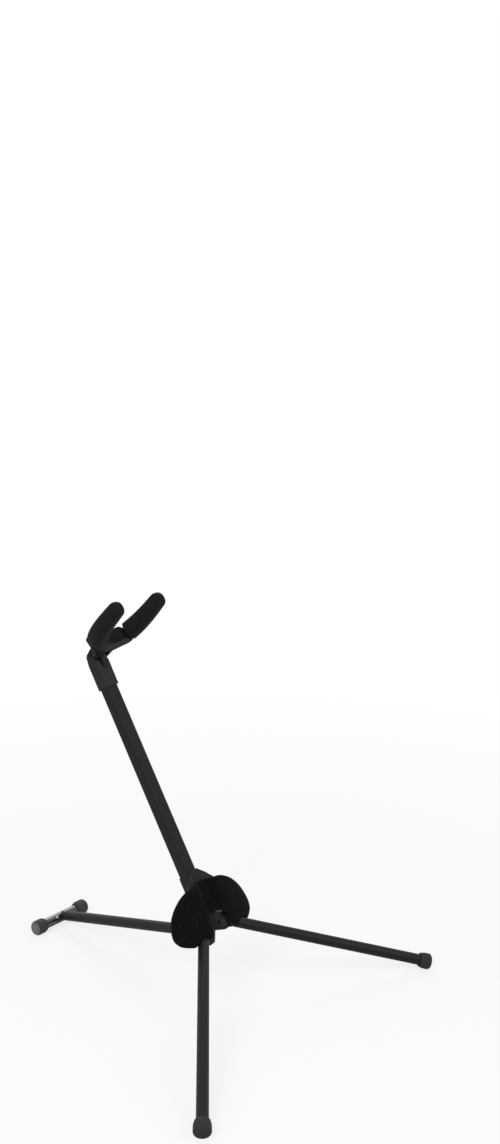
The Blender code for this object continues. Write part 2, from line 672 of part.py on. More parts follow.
def arm(root, metal, moulded):
    """Square tube and the plug that fixes its lower end in the hub's boss."""
    inside = ARM_SIZE - 2.0 * ARM_WALL
    ease = 0.3 * MM
    rings = [square_ring(inside, ARM_START, ARM_CORNER - ARM_WALL),
             square_ring(ARM_SIZE - 2.0 * ease, ARM_START, ARM_CORNER - ease),
             square_ring(ARM_SIZE, ARM_START + ease, ARM_CORNER),
             square_ring(ARM_SIZE, ARM_END - ease, ARM_CORNER),
             square_ring(ARM_SIZE - 2.0 * ease, ARM_END, ARM_CORNER - ease),
             square_ring(inside, ARM_END, ARM_CORNER - ARM_WALL)]
    finish_object("arm_tube", stack_rings(rings, closed=True), metal, arm_frame(), root)
    low = SOCKET_SIZE - 2.0 * FIT
    high = inside - 2.0 * FIT
    shoulder = ARM_START - FIT
    rings = [square_ring(low - 1.2 * MM, SOCKET_START + FIT, 1.0 * MM),
             square_ring(low, SOCKET_START + FIT + 0.6 * MM, 1.4 * MM),
             square_ring(low, shoulder - ARM_COLLAR_H - 0.5 * MM, 1.4 * MM),
             square_ring(ARM_COLLAR - 0.8 * MM, shoulder - ARM_COLLAR_H - 0.4 * MM, 1.8 * MM),
             square_ring(ARM_COLLAR, shoulder - ARM_COLLAR_H, ARM_CORNER),
             square_ring(ARM_COLLAR, shoulder - 0.4 * MM, ARM_CORNER),
             square_ring(ARM_COLLAR - 0.8 * MM, shoulder, ARM_CORNER - 0.4 * MM),
             square_ring(high, shoulder, 0.6 * MM),
             square_ring(high, shoulder + ARM_PLUG_LENGTH - 1.0 * MM, 0.6 * MM),
             square_ring(high - 1.6 * MM, shoulder + ARM_PLUG_LENGTH, 0.4 * MM)]
    plug = finish_object("arm_plug", stack_rings(rings), moulded, arm_frame(), root)
    for along in SCREW_PLACES:
        cut(plug, prism(circle(0.5 * SCREW_D + FIT), -BOSS_SIZE, 0.0),
            front_frame(along, BOSS_SIZE))


# --- saddle ----------------------------------------------------------------------------------
def saddle_outline(top, steps=3):
    """Butterfly outline: a top tab, two wings, and a notch between them over the hub."""
    wing = SADDLE_HALF_W
    right = [(0.0, top), (0.12 * wing, top - 0.8 * MM), (0.26 * wing, min(top - 3.0 * MM, 26.5 * MM)),
             (0.45 * wing, 17.5 * MM), (0.72 * wing, 9.5 * MM), (0.92 * wing, -4.0 * MM),
             (wing, -21.0 * MM), (0.94 * wing, -31.0 * MM), (0.82 * wing, 0.95 * WING_END),
             (0.66 * wing, WING_END - 1.8 * MM), (0.46 * wing, WING_END - 1.0 * MM),
             (0.34 * wing, WING_END - 1.6 * MM), (NOTCH_HALF_W + 2.2 * MM, 0.90 * WING_END)]
    notch = [(NOTCH_HALF_W, 0.72 * WING_END), (NOTCH_HALF_W - 0.8 * MM, TONGUE_END - 3.0 * MM),
             (0.55 * NOTCH_HALF_W, TONGUE_END - 0.4 * MM), (0.0, TONGUE_END)]
    half = smooth_curve(right + notch, steps)
    left = [(-x, y) for x, y in reversed(half[1:-1])]
    return half + left


def ramp(value, low, high):
    """0 below low, 1 above high, and smooth between them."""
    t = min(1.0, max(0.0, (value - low) / (high - low)))
    return t * t * (3.0 - 2.0 * t)


def bend(mesh_data, padded):
    """Split a flat plate on lines across it, step its wings forward and bend them back.

    A pad is thin on the middle strip and crowned on the wings.
    """
    lines = [-52.0, -42.0, -32.0, -22.0, -13.0, -10.0, -7.0, -3.0, 3.0, 7.0, 10.0, 13.0, 22.0,
             32.0, 42.0, 52.0]
    for line in lines:
        geometry = mesh_data.verts[:] + mesh_data.edges[:] + mesh_data.faces[:]
        where = (line / 60.0 * SADDLE_HALF_W, 0.0, 0.0)
        bmesh.ops.bisect_plane(mesh_data, geom=geometry, plane_co=where, plane_no=(1.0, 0.0, 0.0),
                               dist=0.001 * MM)
    for vert in mesh_data.verts:
        x, along, height = vert.co
        wing = ramp(abs(x), VALLEY_HALF_W, WING_START)
        if padded:
            crown = PAD_CROWN * ramp(abs(x), VALLEY_HALF_W, 0.5 * SADDLE_HALF_W)
            height *= (VALLEY_T + (PAD_T + crown - VALLEY_T) * wing) / PAD_T
        height += WING_LIFT * wing - x * x / (2.0 * SADDLE_BEND_R)
        vert.co = (x, along, height)
    bmesh.ops.triangulate(mesh_data, faces=[f for f in mesh_data.faces if len(f.verts) > 4])


def saddle_frame(front):
    """X across, Y up along the arm, Z out of the saddle; clockwise seen from the front."""
    normal = (math.cos(ARM_LEAN), 0.0, math.sin(ARM_LEAN))
    return frame(arm_point(0.0, front), (0.0, 1.0, 0.0), normal)


def leg_room(side):
    """A rod a little thicker than a rear leg, from behind its pivot outwards."""
    radius = 0.5 * LEG_D + LEG_ROOM
    eye = EYE_R + 2.2 * MM
    rod = turned([(eye, -eye), (eye, eye), (radius, NECK_LENGTH), (radius, 90.0 * MM)], 20)
    return rod, leg_frame(rear_pivot(side), side * REAR_SPREAD, REAR_SLOPE)


def saddle(root, moulded, cloth, steel):
    """Shell screwed to the boss, soft pad on its front, and the two screws under the pad."""
    back = 0.5 * BOSS_SIZE + FIT
    shell_mesh = prism(inset_outline(list(reversed(saddle_outline(SADDLE_TOP))), PAD_MARGIN),
                       0.0, SHELL_T, 0.4 * MM)
    bend(shell_mesh, False)
    shell = finish_object("saddle_shell", shell_mesh, moulded, saddle_frame(back), root)
    outline = list(reversed(saddle_outline(PAD_TOP)))
    rim = 2.0 * MM
    soft = inset_outline(outline, rim)
    mid = inset_outline(outline, 0.3 * rim)
    bottom = inset_outline(outline, 0.6 * MM)
    rings = [[(x, y, 0.0) for x, y in bottom], [(x, y, 0.9 * MM) for x, y in outline],
             [(x, y, PAD_T - rim) for x, y in outline],
             [(x, y, PAD_T - 0.35 * rim) for x, y in mid], [(x, y, PAD_T) for x, y in soft]]
    pad_mesh = stack_rings(rings)
    bend(pad_mesh, True)
    face = back + SHELL_T + FIT
    pad = finish_object("saddle_pad", pad_mesh, cloth, saddle_frame(face), root)
    for side in (-1.0, 1.0):
        for plate in (shell, pad):
            cut(plate, *leg_room(side))
    for label, along in zip(("lower", "upper"), SCREW_PLACES):
        place = front_frame(along, back + SHELL_T)
        cut(shell, prism(circle(0.5 * SCREW_D + FIT), -9.0 * MM, 9.0 * MM), place)
        room = SCREW_HEAD_H + FIT
        cut(pad, prism(circle(0.5 * SCREW_HEAD_D + FIT, 16), -9.0 * MM, room), place)
        head = 0.5 * SCREW_HEAD_D
        radius = 0.5 * SCREW_D
        profile = [(radius - 0.6 * MM, -SCREW_LENGTH), (radius, -SCREW_LENGTH + 0.8 * MM),
                   (radius, FIT), (head, FIT), (head, FIT + 0.5 * SCREW_HEAD_H),
                   (0.7 * head, SCREW_HEAD_H)]
        finish_object("saddle_" + label + "_screw", turned(profile, ROUND_SMALL), steel, place, root)


# --- yoke ------------------------------------------------------------------------------------
def side_frame(origin, x_axis):
    """Z across the stand, X along a direction in its middle plane."""
    return frame(origin, x_axis, (0.0, -1.0, 0.0))


def yoke_axis():
    return Vector((math.sin(YOKE_TILT), 0.0, math.cos(YOKE_TILT)))


def arm_axis():
    return Vector((-math.sin(ARM_LEAN), 0.0, math.cos(ARM_LEAN)))


def yoke_sleeve(root, moulded):
    """Sleeve over the arm's top, mitred for the fork, with the tongue that carries its pin.

    The outline is in the middle plane: X up along the arm, Y in front of it.
    """
    half = 0.5 * SLEEVE_D
    mitre_back = (YOKE_PIN_T + 1.4 * MM, -0.75 * half)
    mitre_front = (YOKE_PIN_T - 10.1 * MM, half + 0.6 * MM)
    outline = [mitre_front, mitre_back, (mitre_back[0] - 12.0 * MM, -half),
               (SLEEVE_START, -half), (SLEEVE_START, half)]
    outline = [(x, -y) for x, y in outline]
    body = prism(outline, -0.5 * SLEEVE_W, 0.5 * SLEEVE_W, 0.8 * MM)
    place = side_frame(arm_point(0.0, 0.0), arm_axis())
    sleeve = finish_object("yoke_sleeve", body, moulded, place, root)
    tongue_r = YOKE_EAR_R - 0.4 * MM
    tongue = arc(tongue_r, math.radians(-60.0), math.radians(120.0), 14)
    tongue = tongue + [(-18.0 * MM, 11.0 * MM), (-18.0 * MM, -1.0 * MM)]
    pivot_place = side_frame(yoke_pivot(), arm_axis())
    join(sleeve, prism(tongue, -0.5 * YOKE_TONGUE, 0.5 * YOKE_TONGUE, 0.4 * MM), pivot_place)
    bore = rounded_rectangle(ARM_SIZE + 2.0 * FIT, ARM_SIZE + 2.0 * FIT, ARM_CORNER)
    cut(sleeve, prism(bore, SLEEVE_START - 5.0 * MM, ARM_END + 1.0 * MM), arm_frame())
    cut(sleeve, prism(circle(0.5 * YOKE_PIN_D + FIT), -SLEEVE_W, SLEEVE_W), pivot_place)


def prong_path():
    """Centre line of one prong in the fork's plane: across, and up from the pin."""
    knots = [(0.30 * PRONG_Y, 13.0 * MM), (0.66 * PRONG_Y, 25.0 * MM), (0.90 * PRONG_Y, 42.0 * MM),
             (PRONG_Y, 62.0 * MM), (PRONG_Y, PRONG_END - PRONG_HALF_D * PRONG_TAPER)]
    return smooth_curve(knots, 3)


def prong_section(half_w, half_d, power, facets=16):
    """A squared-off oval: across the prong, and square to the fork's plane."""
    points = []
    for i in range(facets):
        a = 2.0 * math.pi * i / facets
        c, s = math.cos(a), math.sin(a)
        points.append((half_w * math.copysign(abs(c) ** (2.0 / power), c),
                       half_d * math.copysign(abs(s) ** (2.0 / power), s)))
    return points


def prong_ring(centre, direction, section, side):
    """Set a section square to the centre line."""
    across = Vector((direction.y, -direction.x))
    return [(side * (centre.x + x * across.x), centre.y + x * across.y, z) for x, z in section]


def prong_rings(path, start, stop, half_w, half_d, power, side):
    rings = []
    for i in range(start, stop):
        here = Vector(path[i])
        ahead = Vector(path[min(i + 1, len(path) - 1)])
        behind = Vector(path[max(i - 1, 0)])
        taper = 1.0 + (PRONG_TAPER - 1.0) * (i / (len(path) - 1)) ** 2
        section = prong_section(half_w * taper, half_d * taper, power)
        rings.append(prong_ring(here, (ahead - behind).normalized(), section, side))
    return rings


def fork_frame():
    """Origin on the pin: X across, Y along the prongs, Z square to the fork's plane."""
    return frame(yoke_pivot(), (0.0, 1.0, 0.0),
                 (math.cos(YOKE_TILT), 0.0, -math.sin(YOKE_TILT)))


def fork(holder, moulded, foam, steel):
    """The fork's frame with its ears, and a padded sleeve on each prong."""
    pivot = yoke_pivot()
    place = relative(fork_frame(), pivot)
    neck = [(-15.3 * MM, 5.6 * MM), (-8.0 * MM, -2.6 * MM)]
    neck = neck + arc(YOKE_EAR_R, math.radians(205.0), math.radians(275.0), 6)
    neck = neck + [(FLARE_SHOULDER, -FLARE_HALF_T), (FLARE_SHOULDER, FLARE_HALF_T),
                   (0.4 * FLARE_FOOT, FLARE_HALF_T)]
    half = 0.5 * SLEEVE_W
    body = finish_object("yoke_fork", prism(neck, -half, half, 0.7 * MM), moulded,
                         relative(side_frame(pivot, yoke_axis()), pivot), holder)
    flare = [(0.0, FLARE_FOOT), (half, FLARE_FOOT), (0.55 * PRONG_Y, FLARE_RISE),
             (0.86 * PRONG_Y, FLARE_SHOULDER), (0.96 * PRONG_Y, FLARE_BROW),
             (0.86 * PRONG_Y, FLARE_TOP), (0.62 * PRONG_Y, 0.9 * FLARE_HORN),
             (0.40 * PRONG_Y, FLARE_HORN), (0.0, 0.85 * FLARE_HORN)]
    curve = smooth_curve(flare, 3)
    web = curve + [(-x, y) for x, y in reversed(curve[1:-1])]
    join(body, prism(web, -FLARE_HALF_T, FLARE_HALF_T, 1.2 * MM), place)
    path = prong_path()
    last = len(path)
    for side in (-1.0, 1.0):
        bar = prong_rings(path, 0, last - 2, PRONG_CORE, PRONG_CORE, 5.0, side)
        join(body, stack_rings(bar), place)
    slot = [(-24.0 * MM, -20.0 * MM), (SLOT_DEPTH, -20.0 * MM), (SLOT_DEPTH, 20.0 * MM),
            (-24.0 * MM, 20.0 * MM)]
    gap = 0.5 * YOKE_TONGUE + FIT
    cut(body, prism(slot, -gap, gap), relative(side_frame(pivot, yoke_axis()), pivot))
    cut(body, prism(circle(0.5 * YOKE_PIN_D + FIT), -SLEEVE_W, SLEEVE_W),
        relative(side_frame(pivot, yoke_axis()), pivot))
    first = PAD_RING
    for label, side in (("near", -1.0), ("far", 1.0)):
        core = PRONG_CORE + FIT
        hollow = prong_rings(path, first, last - 1, core, core, 5.0, side)
        outer = prong_rings(path, first, last, PRONG_HALF_W, PRONG_HALF_D, 2.6, side)
        tip = Vector(path[-1])
        for i in range(1, 6):
            a = math.radians(90.0 * i / 6)
            scale = PRONG_TAPER * math.cos(a)
            section = prong_section(PRONG_HALF_W * scale, PRONG_HALF_D * scale, 2.6)
            along = Vector((tip.x, tip.y + PRONG_TAPER * PRONG_HALF_D * math.sin(a)))
            outer.append(prong_ring(along, Vector((0.0, 1.0)), section, side))
        rings = list(reversed(hollow)) + outer
        finish_object(label + "_prong_pad", stack_rings(rings), foam, place, holder)


# --- assembly --------------------------------------------------------------------------------
def clear_scene():
    for obj in list(bpy.data.objects):
        bpy.data.objects.remove(obj)


def build():
    clear_scene()
    root = empty("stand_root", (HUB_X, 0.0, 0.0), None)
    enamel, slate, moulded = black_enamel(), slate_enamel(), moulded_black()
    cloth, foam, rubber = velvet_black(), foam_black(), foot_rubber()
    gloss, steel = gloss_bar(), black_steel()
    hub_body(root, moulded)
    cheeks = 0.5 * BLADE_T + FIT + LUG_CHEEK
    holders = {}
    for name, pivot, heading, slope, _ in legs():
        holder = empty(name + "_axis", pivot, root)
        holders[name] = holder
        knuckle(name + "_knuckle", pivot, heading, slope, holder, moulded)
        place = clevis_frame(pivot, heading)
        if name == "near_leg":
            place = place @ Matrix.Rotation(math.pi, 4, "X")
        pivot_pin(name + "_pivot_pin", place, cheeks, PIN_D, PIN_HEAD_D, root, steel)
        pivot_nut(name + "_pivot_nut", place, cheeks, PIN_D, root, steel)
    rear_leg("near_leg", -1.0, holders["near_leg"], root, enamel, rubber)
    rear_leg("far_leg", 1.0, holders["far_leg"], root, enamel, rubber)
    t_tube(holders["t_leg"], slate, moulded, steel)
    t_foot(holders["t_leg"], root, gloss, rubber)
    arm(root, enamel, moulded)
    saddle(root, moulded, cloth, steel)
    yoke_sleeve(root, moulded)
    holder = empty("yoke_axis", yoke_pivot(), root)
    fork(holder, moulded, foam, steel)
    place = side_frame(yoke_pivot(), arm_axis())
    pivot_pin("yoke_pivot_pin", place, 0.5 * SLEEVE_W, YOKE_PIN_D, YOKE_HEAD_D, root, steel)
    pivot_nut("yoke_pivot_nut", place, 0.5 * SLEEVE_W, YOKE_PIN_D, root, steel)


build()
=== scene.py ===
import json
import math

import bmesh
import bpy
import numpy as np
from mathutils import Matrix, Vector


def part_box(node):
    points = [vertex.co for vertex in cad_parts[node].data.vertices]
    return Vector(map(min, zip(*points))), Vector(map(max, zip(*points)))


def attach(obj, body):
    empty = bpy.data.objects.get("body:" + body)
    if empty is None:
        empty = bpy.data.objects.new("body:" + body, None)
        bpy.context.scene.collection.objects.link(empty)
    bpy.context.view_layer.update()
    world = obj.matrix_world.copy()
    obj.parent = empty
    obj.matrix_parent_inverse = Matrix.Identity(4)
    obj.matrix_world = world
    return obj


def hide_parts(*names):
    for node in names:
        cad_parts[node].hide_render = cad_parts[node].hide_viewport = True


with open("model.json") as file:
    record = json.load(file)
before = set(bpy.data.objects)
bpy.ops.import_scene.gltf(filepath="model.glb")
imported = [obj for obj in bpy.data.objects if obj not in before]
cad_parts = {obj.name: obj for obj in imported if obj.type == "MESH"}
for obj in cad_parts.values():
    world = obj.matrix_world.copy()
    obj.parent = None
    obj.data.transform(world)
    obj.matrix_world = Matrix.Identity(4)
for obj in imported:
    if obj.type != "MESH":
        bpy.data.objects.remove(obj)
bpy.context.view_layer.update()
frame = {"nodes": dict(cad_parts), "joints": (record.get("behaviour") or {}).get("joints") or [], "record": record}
scene = bpy.context.scene

MM = 0.001
SIDES = (("near", -1.0), ("far", 1.0))
ACROSS = np.array([0.0, 1.0, 0.0])

# The legs and their feet.
HUB_X = 35.012 * MM               # the hub's axis, from the middle of the footprint
SPREAD = math.radians(49.0)       # a rear leg's heading, either side of +X
LEG_R = 6.0 * MM
LEG_BORE = 4.8 * MM               # the tube's inner radius
LEG_START = 15.0 * MM             # where a leg's tube starts, down the leg from its pivot
TUBE_SHORT = 2.9 * MM             # a rear tube stops this short of its foot's centre
FOOT_AT = 253.6 * MM              # a rear foot's centre, from the hub's axis
FOOT_Z = 8.8 * MM
FOOT_R = 8.8 * MM
KNUCKLE_EASE = 0.35 * MM

# The crossbar of the T foot, and how the leg meets it.
BAR_AT = 236.7 * MM               # the crossbar, from the hub's axis
BAR_Z = 8.5 * MM
BAR_R = 6.0 * MM
BAR_HALF = 35.75 * MM
BAR_RISE = 3.0 * MM               # the T leg's axis passes this far over the bar's
BAR_FLANK = 11.5 * MM             # the T leg's tube ends this far before the bar's axis
PLUG_R = 4.75 * MM                # the plug in that end, which goes on
PLUG_FLANK = 4.6 * MM             # to the bar's flank, or to this far before its axis
PLUG_LENGTH = 24.0 * MM
BAR_CAP_R = 8.8 * MM
BAR_CAP_PAST = 4.0 * MM           # a cap's tip, past the bar's end
BAR_CAP_LENGTH = 15.0 * MM
SCREW_TO = 20.0 * MM              # the bar's screw points this far up the T leg's axis

# The arm and its collar: sizes across the flats, and how far along the arm's axis.
LEAN = math.radians(31.7)         # the arm, back from upright
ARM_OUTER = 15.0 * MM
ARM_INNER = 12.2 * MM
ARM_LOW = 26.0 * MM
ARM_HIGH = 283.0 * MM
COLLAR_OUTER = 16.8 * MM
COLLAR_INNER = 15.2 * MM
COLLAR_LOW = 25.0 * MM
COLLAR_HIGH = 31.5 * MM

# The fork, measured up its own slope from the pivot.
TILT = math.radians(44.4)         # the fork, forward from upright
PRONG_Y = 32.0 * MM               # a prong's tip, from the middle plane
PRONG_TIP = 95.0 * MM
PAD_HALF_W = 10.0 * MM
PAD_HALF_D = 11.3 * MM
PAD_TAPER = 0.2                   # of its size is lost by the tip
PAD_SQUARE = 2.6                  # the section's power: 2 is an oval, more is squarer

# Pins, nuts and screws.
NO_HEXAGON = 1.0                  # a corner distance that is never reached
CHEEKS = 9.3 * MM                 # from a leg's pivot to where its pin's head and nut bear
SLEEVE_HALF = 8.8 * MM            # the same at the fork's pivot
PIN_R = 2.5 * MM
YOKE_PIN_R = 2.2 * MM
PIN_HEAD_R = 4.2 * MM
YOKE_HEAD_R = 3.7 * MM
PIN_HEAD_H = 1.6 * MM
PIN_PAST = 3.4 * MM               # a pin's thread, past the face that its nut bears on

UP_ARM = np.array([-math.sin(LEAN), 0.0, math.cos(LEAN)])
ARM_FRONT = np.array([math.cos(LEAN), 0.0, math.sin(LEAN)])
ARM_BASE = np.array([HUB_X - 6.0 * MM, 0.0, 100.0 * MM])
UP_FORK = np.array([math.sin(TILT), 0.0, math.cos(TILT)])
FORK_BACK = np.array([-math.cos(TILT), 0.0, math.sin(TILT)])
ANGLES = np.linspace(0.0, 2.0 * math.pi, 96, endpoint=False)
JOINTS = {joint["name"]: joint for joint in frame["joints"]}


def pivot(joint):
    """Where a joint's axis crosses the middle of its pin."""
    return np.array(JOINTS[joint]["pos_m"], float)


def arm_point(along, front):
    """A point in the middle plane, along the arm's axis and in front of it."""
    return ARM_BASE + UP_ARM * along + ARM_FRONT * front


def rear_foot(side):
    """The centre of a rear foot, on the heading of its leg."""
    return np.array([HUB_X + FOOT_AT * math.cos(SPREAD), side * FOOT_AT * math.sin(SPREAD),
                     FOOT_Z])


# --- shader nodes ----------------------------------------------------------------------------
def feed(tree, node, inputs):
    """Set a node's inputs by name or number, each to a plain value or linked to an output."""
    for key, value in inputs.items():
        if isinstance(value, bpy.types.NodeSocket):
            tree.links.new(value, node.inputs[key])
        else:
            node.inputs[key].default_value = value
    return node


def maths(tree, operation, *values, clamp=False):
    """One step of arithmetic on its values, each a plain one or an output."""
    node = tree.nodes.new("ShaderNodeMath")
    node.operation = operation
    node.use_clamp = clamp
    return feed(tree, node, dict(enumerate(values))).outputs[0]


def noise(tree, vector, scale, detail, roughness=0.55):
    """Soft noise from 0 to 1 over a vector."""
    node = tree.nodes.new("ShaderNodeTexNoise")
    feed(tree, node, {"Vector": vector, "Scale": scale, "Detail": detail,
                      "Roughness": roughness})
    return node.outputs["Fac"]


def mix_colour(tree, factor, a, b):
    """Blend two colours. A Mix node's colour sockets are its inputs 6 and 7 and its output 2."""
    node = tree.nodes.new("ShaderNodeMix")
    node.data_type = "RGBA"
    return feed(tree, node, {0: factor, 6: a, 7: b}).outputs[2]


def bump(tree, height, depth, under=None):
    """A relief of this depth, on top of another one where there is one."""
    node = tree.nodes.new("ShaderNodeBump")
    feed(tree, node, {"Strength": 1.0, "Distance": depth, "Height": height})
    if under:
        feed(tree, node, {"Normal": under})
    return node.outputs["Normal"]


# --- camera and room -------------------------------------------------------------------------
FLOOR_WHITE = 0.78                # of what the eye sees of the floor under the stand
FLOOR_REACH = 30.0
WORLD_LIGHT = 0.36                # the world's strength as a light; seen, it is plain white


def aim(thing, direction):
    """Turn a camera or a lamp to look along a direction."""
    thing.rotation_mode = "QUATERNION"
    thing.rotation_quaternion = Vector(direction).to_track_quat("-Z", "Y")


def add_camera():
    """The camera stands 1.4 m off and looks down along the near leg."""
    data = bpy.data.cameras.new("camera")
    data.lens = 37.520
    data.sensor_width = 36.0
    data.clip_start = 0.02
    data.clip_end = 60.0
    camera = bpy.data.objects.new("camera", data)
    camera.location = (0.80731 + HUB_X, -0.90754, 0.69868)
    aim(camera, (-0.62196, 0.76065, -0.18594))
    scene.collection.objects.link(camera)
    scene.camera = camera


def add_softbox(name, place, size, power):
    """A square lamp at place, turned towards the middle of the stand."""
    data = bpy.data.lights.new(name, "AREA")
    data.shape = "SQUARE"
    data.size = size
    data.energy = power
    lamp = bpy.data.objects.new(name, data)
    lamp.location = place
    aim(lamp, Vector((0.0, 0.0, 0.15)) - Vector(place))
    scene.collection.objects.link(lamp)


def add_floor():
    """A pale floor that turns to plain white away from the stand.

    The eye sees the floor as its own shaded colour mixed with pure white, and the share of
    white rises smoothly with the distance from the stand, from FLOOR_WHITE to all of it.
    """
    corners = [(x * FLOOR_REACH, y * FLOOR_REACH, 0.0)
               for x, y in ((-1.0, -1.0), (1.0, -1.0), (1.0, 1.0), (-1.0, 1.0))]
    mesh = bpy.data.meshes.new("studio_floor")
    mesh.from_pydata(corners, [], [(0, 1, 2, 3)])
    floor = bpy.data.objects.new("studio_floor", mesh)
    floor.location.z = -0.2 * MM
    scene.collection.objects.link(floor)
    finish = bpy.data.materials.new("studio_floor")
    finish.use_nodes = True
    mesh.materials.append(finish)
    tree = finish.node_tree
    shader = feed(tree, tree.nodes["Principled BSDF"],
                  {"Base Color": (0.95, 0.95, 0.95, 1.0), "Roughness": 0.9,
                   "Specular IOR Level": 0.1})
    glow = feed(tree, tree.nodes.new("ShaderNodeEmission"), {"Color": (1.0, 1.0, 1.0, 1.0)})
    distance = tree.nodes.new("ShaderNodeVectorMath")
    distance.operation = "LENGTH"
    feed(tree, distance, {0: tree.nodes.new("ShaderNodeTexCoord").outputs["Object"]})
    white = tree.nodes.new("ShaderNodeMapRange")
    white.interpolation_type = "SMOOTHSTEP"
    feed(tree, white, {"From Min": 0.30, "From Max": 1.30, "To Min": FLOOR_WHITE, "To Max": 1.0,
                       "Value": distance.outputs["Value"]})
    seen = tree.nodes.new("ShaderNodeLightPath").outputs["Is Camera Ray"]
    share = maths(tree, "MULTIPLY", seen, white.outputs["Result"])
    blend = feed(tree, tree.nodes.new("ShaderNodeMixShader"),
                 {"Fac": share, 1: shader.outputs["BSDF"], 2: glow.outputs["Emission"]})
    feed(tree, tree.nodes["Material Output"], {"Surface": blend.outputs["Shader"]})


def add_world():
    """A white world: plain white to the eye and in gloss, and WORLD_LIGHT strong as a light."""
    world = bpy.data.worlds.new("studio")
    world.use_nodes = True
    scene.world = world
    tree = world.node_tree
    path = tree.nodes.new("ShaderNodeLightPath").outputs
    seen = maths(tree, "MAXIMUM", path["Is Camera Ray"], path["Is Glossy Ray"])
    strength = feed(tree, tree.nodes.new("ShaderNodeMapRange"),
                    {"To Min": WORLD_LIGHT, "To Max": 1.0, "Value": seen})
    feed(tree, tree.nodes["Background"],
         {"Color": (1.0, 1.0, 1.0, 1.0), "Strength": strength.outputs["Result"]})


def add_room():
    """The floor, the world and three lamps round the stand."""
    add_floor()
    add_world()
    add_softbox("key_softbox", (0.35, -1.75, 1.9), 1.3, 26.0)
    add_softbox("fill_softbox", (1.9, 0.2, 1.5), 1.3, 11.0)
    add_softbox("back_softbox", (-1.3, 1.4, 1.7), 1.0, 12.0)
    scene.view_settings.view_transform = "Standard"


# --- shader groups ---------------------------------------------------------------------------
VECTOR, COLOUR, VALUE = "NodeSocketVector", "NodeSocketColor", "NodeSocketFloat"
PLACE = ("Vector", VECTOR, (0.0, 0.0, 0.0))


def new_group(name, inputs, outputs):
    """An empty shader group: its tree, the sockets that come in, and its output node."""
    tree = bpy.data.node_groups.new(name, "ShaderNodeTree")
    for label, kind, value in inputs:
        tree.interface.new_socket(label, in_out="INPUT", socket_type=kind).default_value = value
    for label, kind in outputs:
        tree.interface.new_socket(label, in_out="OUTPUT", socket_type=kind)
    return tree, tree.nodes.new("NodeGroupInput").outputs, tree.nodes.new("NodeGroupOutput")


def mottle_group():
    """Slow changes of a colour and a roughness, with rubbed patches and specks of dust."""
    tree, given, out = new_group(
        "handled_surface",
        [PLACE, ("Colour", COLOUR, (0.02, 0.02, 0.02, 1.0)),
         ("Rubbed Colour", COLOUR, (0.05, 0.05, 0.05, 1.0)), ("Roughness", VALUE, 0.45),
         ("Spread", VALUE, 0.1), ("Rub", VALUE, 0.3), ("Dust", VALUE, 0.2)],
        [("Colour", COLOUR), ("Roughness", VALUE), ("Dust Mask", VALUE)])
    broad = noise(tree, given["Vector"], 38.0, 3.0)
    fine = noise(tree, given["Vector"], 420.0, 4.0, 0.7)
    rubbed = maths(tree, "MULTIPLY_ADD", broad, 3.2, -1.6, clamp=True)
    rubbed = maths(tree, "MULTIPLY", rubbed, given["Rub"])
    colour = mix_colour(tree, rubbed, given["Colour"], given["Rubbed Colour"])
    specks = maths(tree, "MULTIPLY_ADD", fine, 9.0, -5.9, clamp=True)
    specks = maths(tree, "MULTIPLY", specks, given["Dust"])
    colour = mix_colour(tree, specks, colour, (0.24, 0.235, 0.225, 1.0))
    swing = maths(tree, "MULTIPLY_ADD", broad, 2.0, -1.0)
    rough = maths(tree, "MULTIPLY_ADD", swing, given["Spread"], given["Roughness"])
    rough = maths(tree, "ADD", rough, maths(tree, "MULTIPLY", specks, 0.3), clamp=True)
    feed(tree, out, {"Colour": colour, "Roughness": rough, "Dust Mask": specks})
    return tree


def relief_group():
    """Heights for a Bump: rolling orange peel with a finer grain over it."""
    tree, given, out = new_group(
        "surface_relief",
        [PLACE, ("Peel Scale", VALUE, 500.0), ("Grain Scale", VALUE, 2200.0),
         ("Grain Share", VALUE, 0.4)],
        [("Height", VALUE)])
    peel = noise(tree, given["Vector"], given["Peel Scale"], 1.5)
    grain = noise(tree, given["Vector"], given["Grain Scale"], 2.0, 0.7)
    feed(tree, out, {"Height": maths(tree, "MULTIPLY_ADD", grain, given["Grain Share"], peel)})
    return tree


def cells_group():
    """Heights for a Bump: the small rounded cells of foam, each a pit between raised walls."""
    tree, given, out = new_group("foam_cells", [PLACE, ("Scale", VALUE, 1000.0)],
                                 [("Height", VALUE)])
    cells = feed(tree, tree.nodes.new("ShaderNodeTexVoronoi"),
                 {"Randomness": 0.9, "Vector": given["Vector"], "Scale": given["Scale"]})
    pit = maths(tree, "MULTIPLY", cells.outputs["Distance"], 1.6, clamp=True)
    feed(tree, out, {"Height": maths(tree, "POWER", pit, 0.7)})
    return tree


def nap_group():
    """A colour whose pile lies in soft upright strokes, lighter where it is brushed."""
    tree, given, out = new_group(
        "brushed_pile",
        [PLACE, ("Colour", COLOUR, (0.004, 0.004, 0.004, 1.0)),
         ("Brushed Colour", COLOUR, (0.010, 0.010, 0.010, 1.0)), ("Scale", VALUE, 500.0)],
        [("Colour", COLOUR), ("Height", VALUE)])
    upright = tree.nodes.new("ShaderNodeVectorMath")
    upright.operation = "MULTIPLY"
    feed(tree, upright, {0: given["Vector"], 1: (1.0, 1.0, 0.22)})
    stroke = noise(tree, upright.outputs["Vector"], given["Scale"], 3.0, 0.65)
    patch = noise(tree, given["Vector"], 55.0, 2.0)
    lift = maths(tree, "MULTIPLY_ADD", stroke, 3.0, -1.15, clamp=True)
    patch = maths(tree, "MULTIPLY_ADD", patch, 2.4, -0.6, clamp=True)
    lift = maths(tree, "MULTIPLY", lift, patch)
    colour = mix_colour(tree, lift, given["Colour"], given["Brushed Colour"])
    feed(tree, out, {"Colour": colour, "Height": stroke})
    return tree


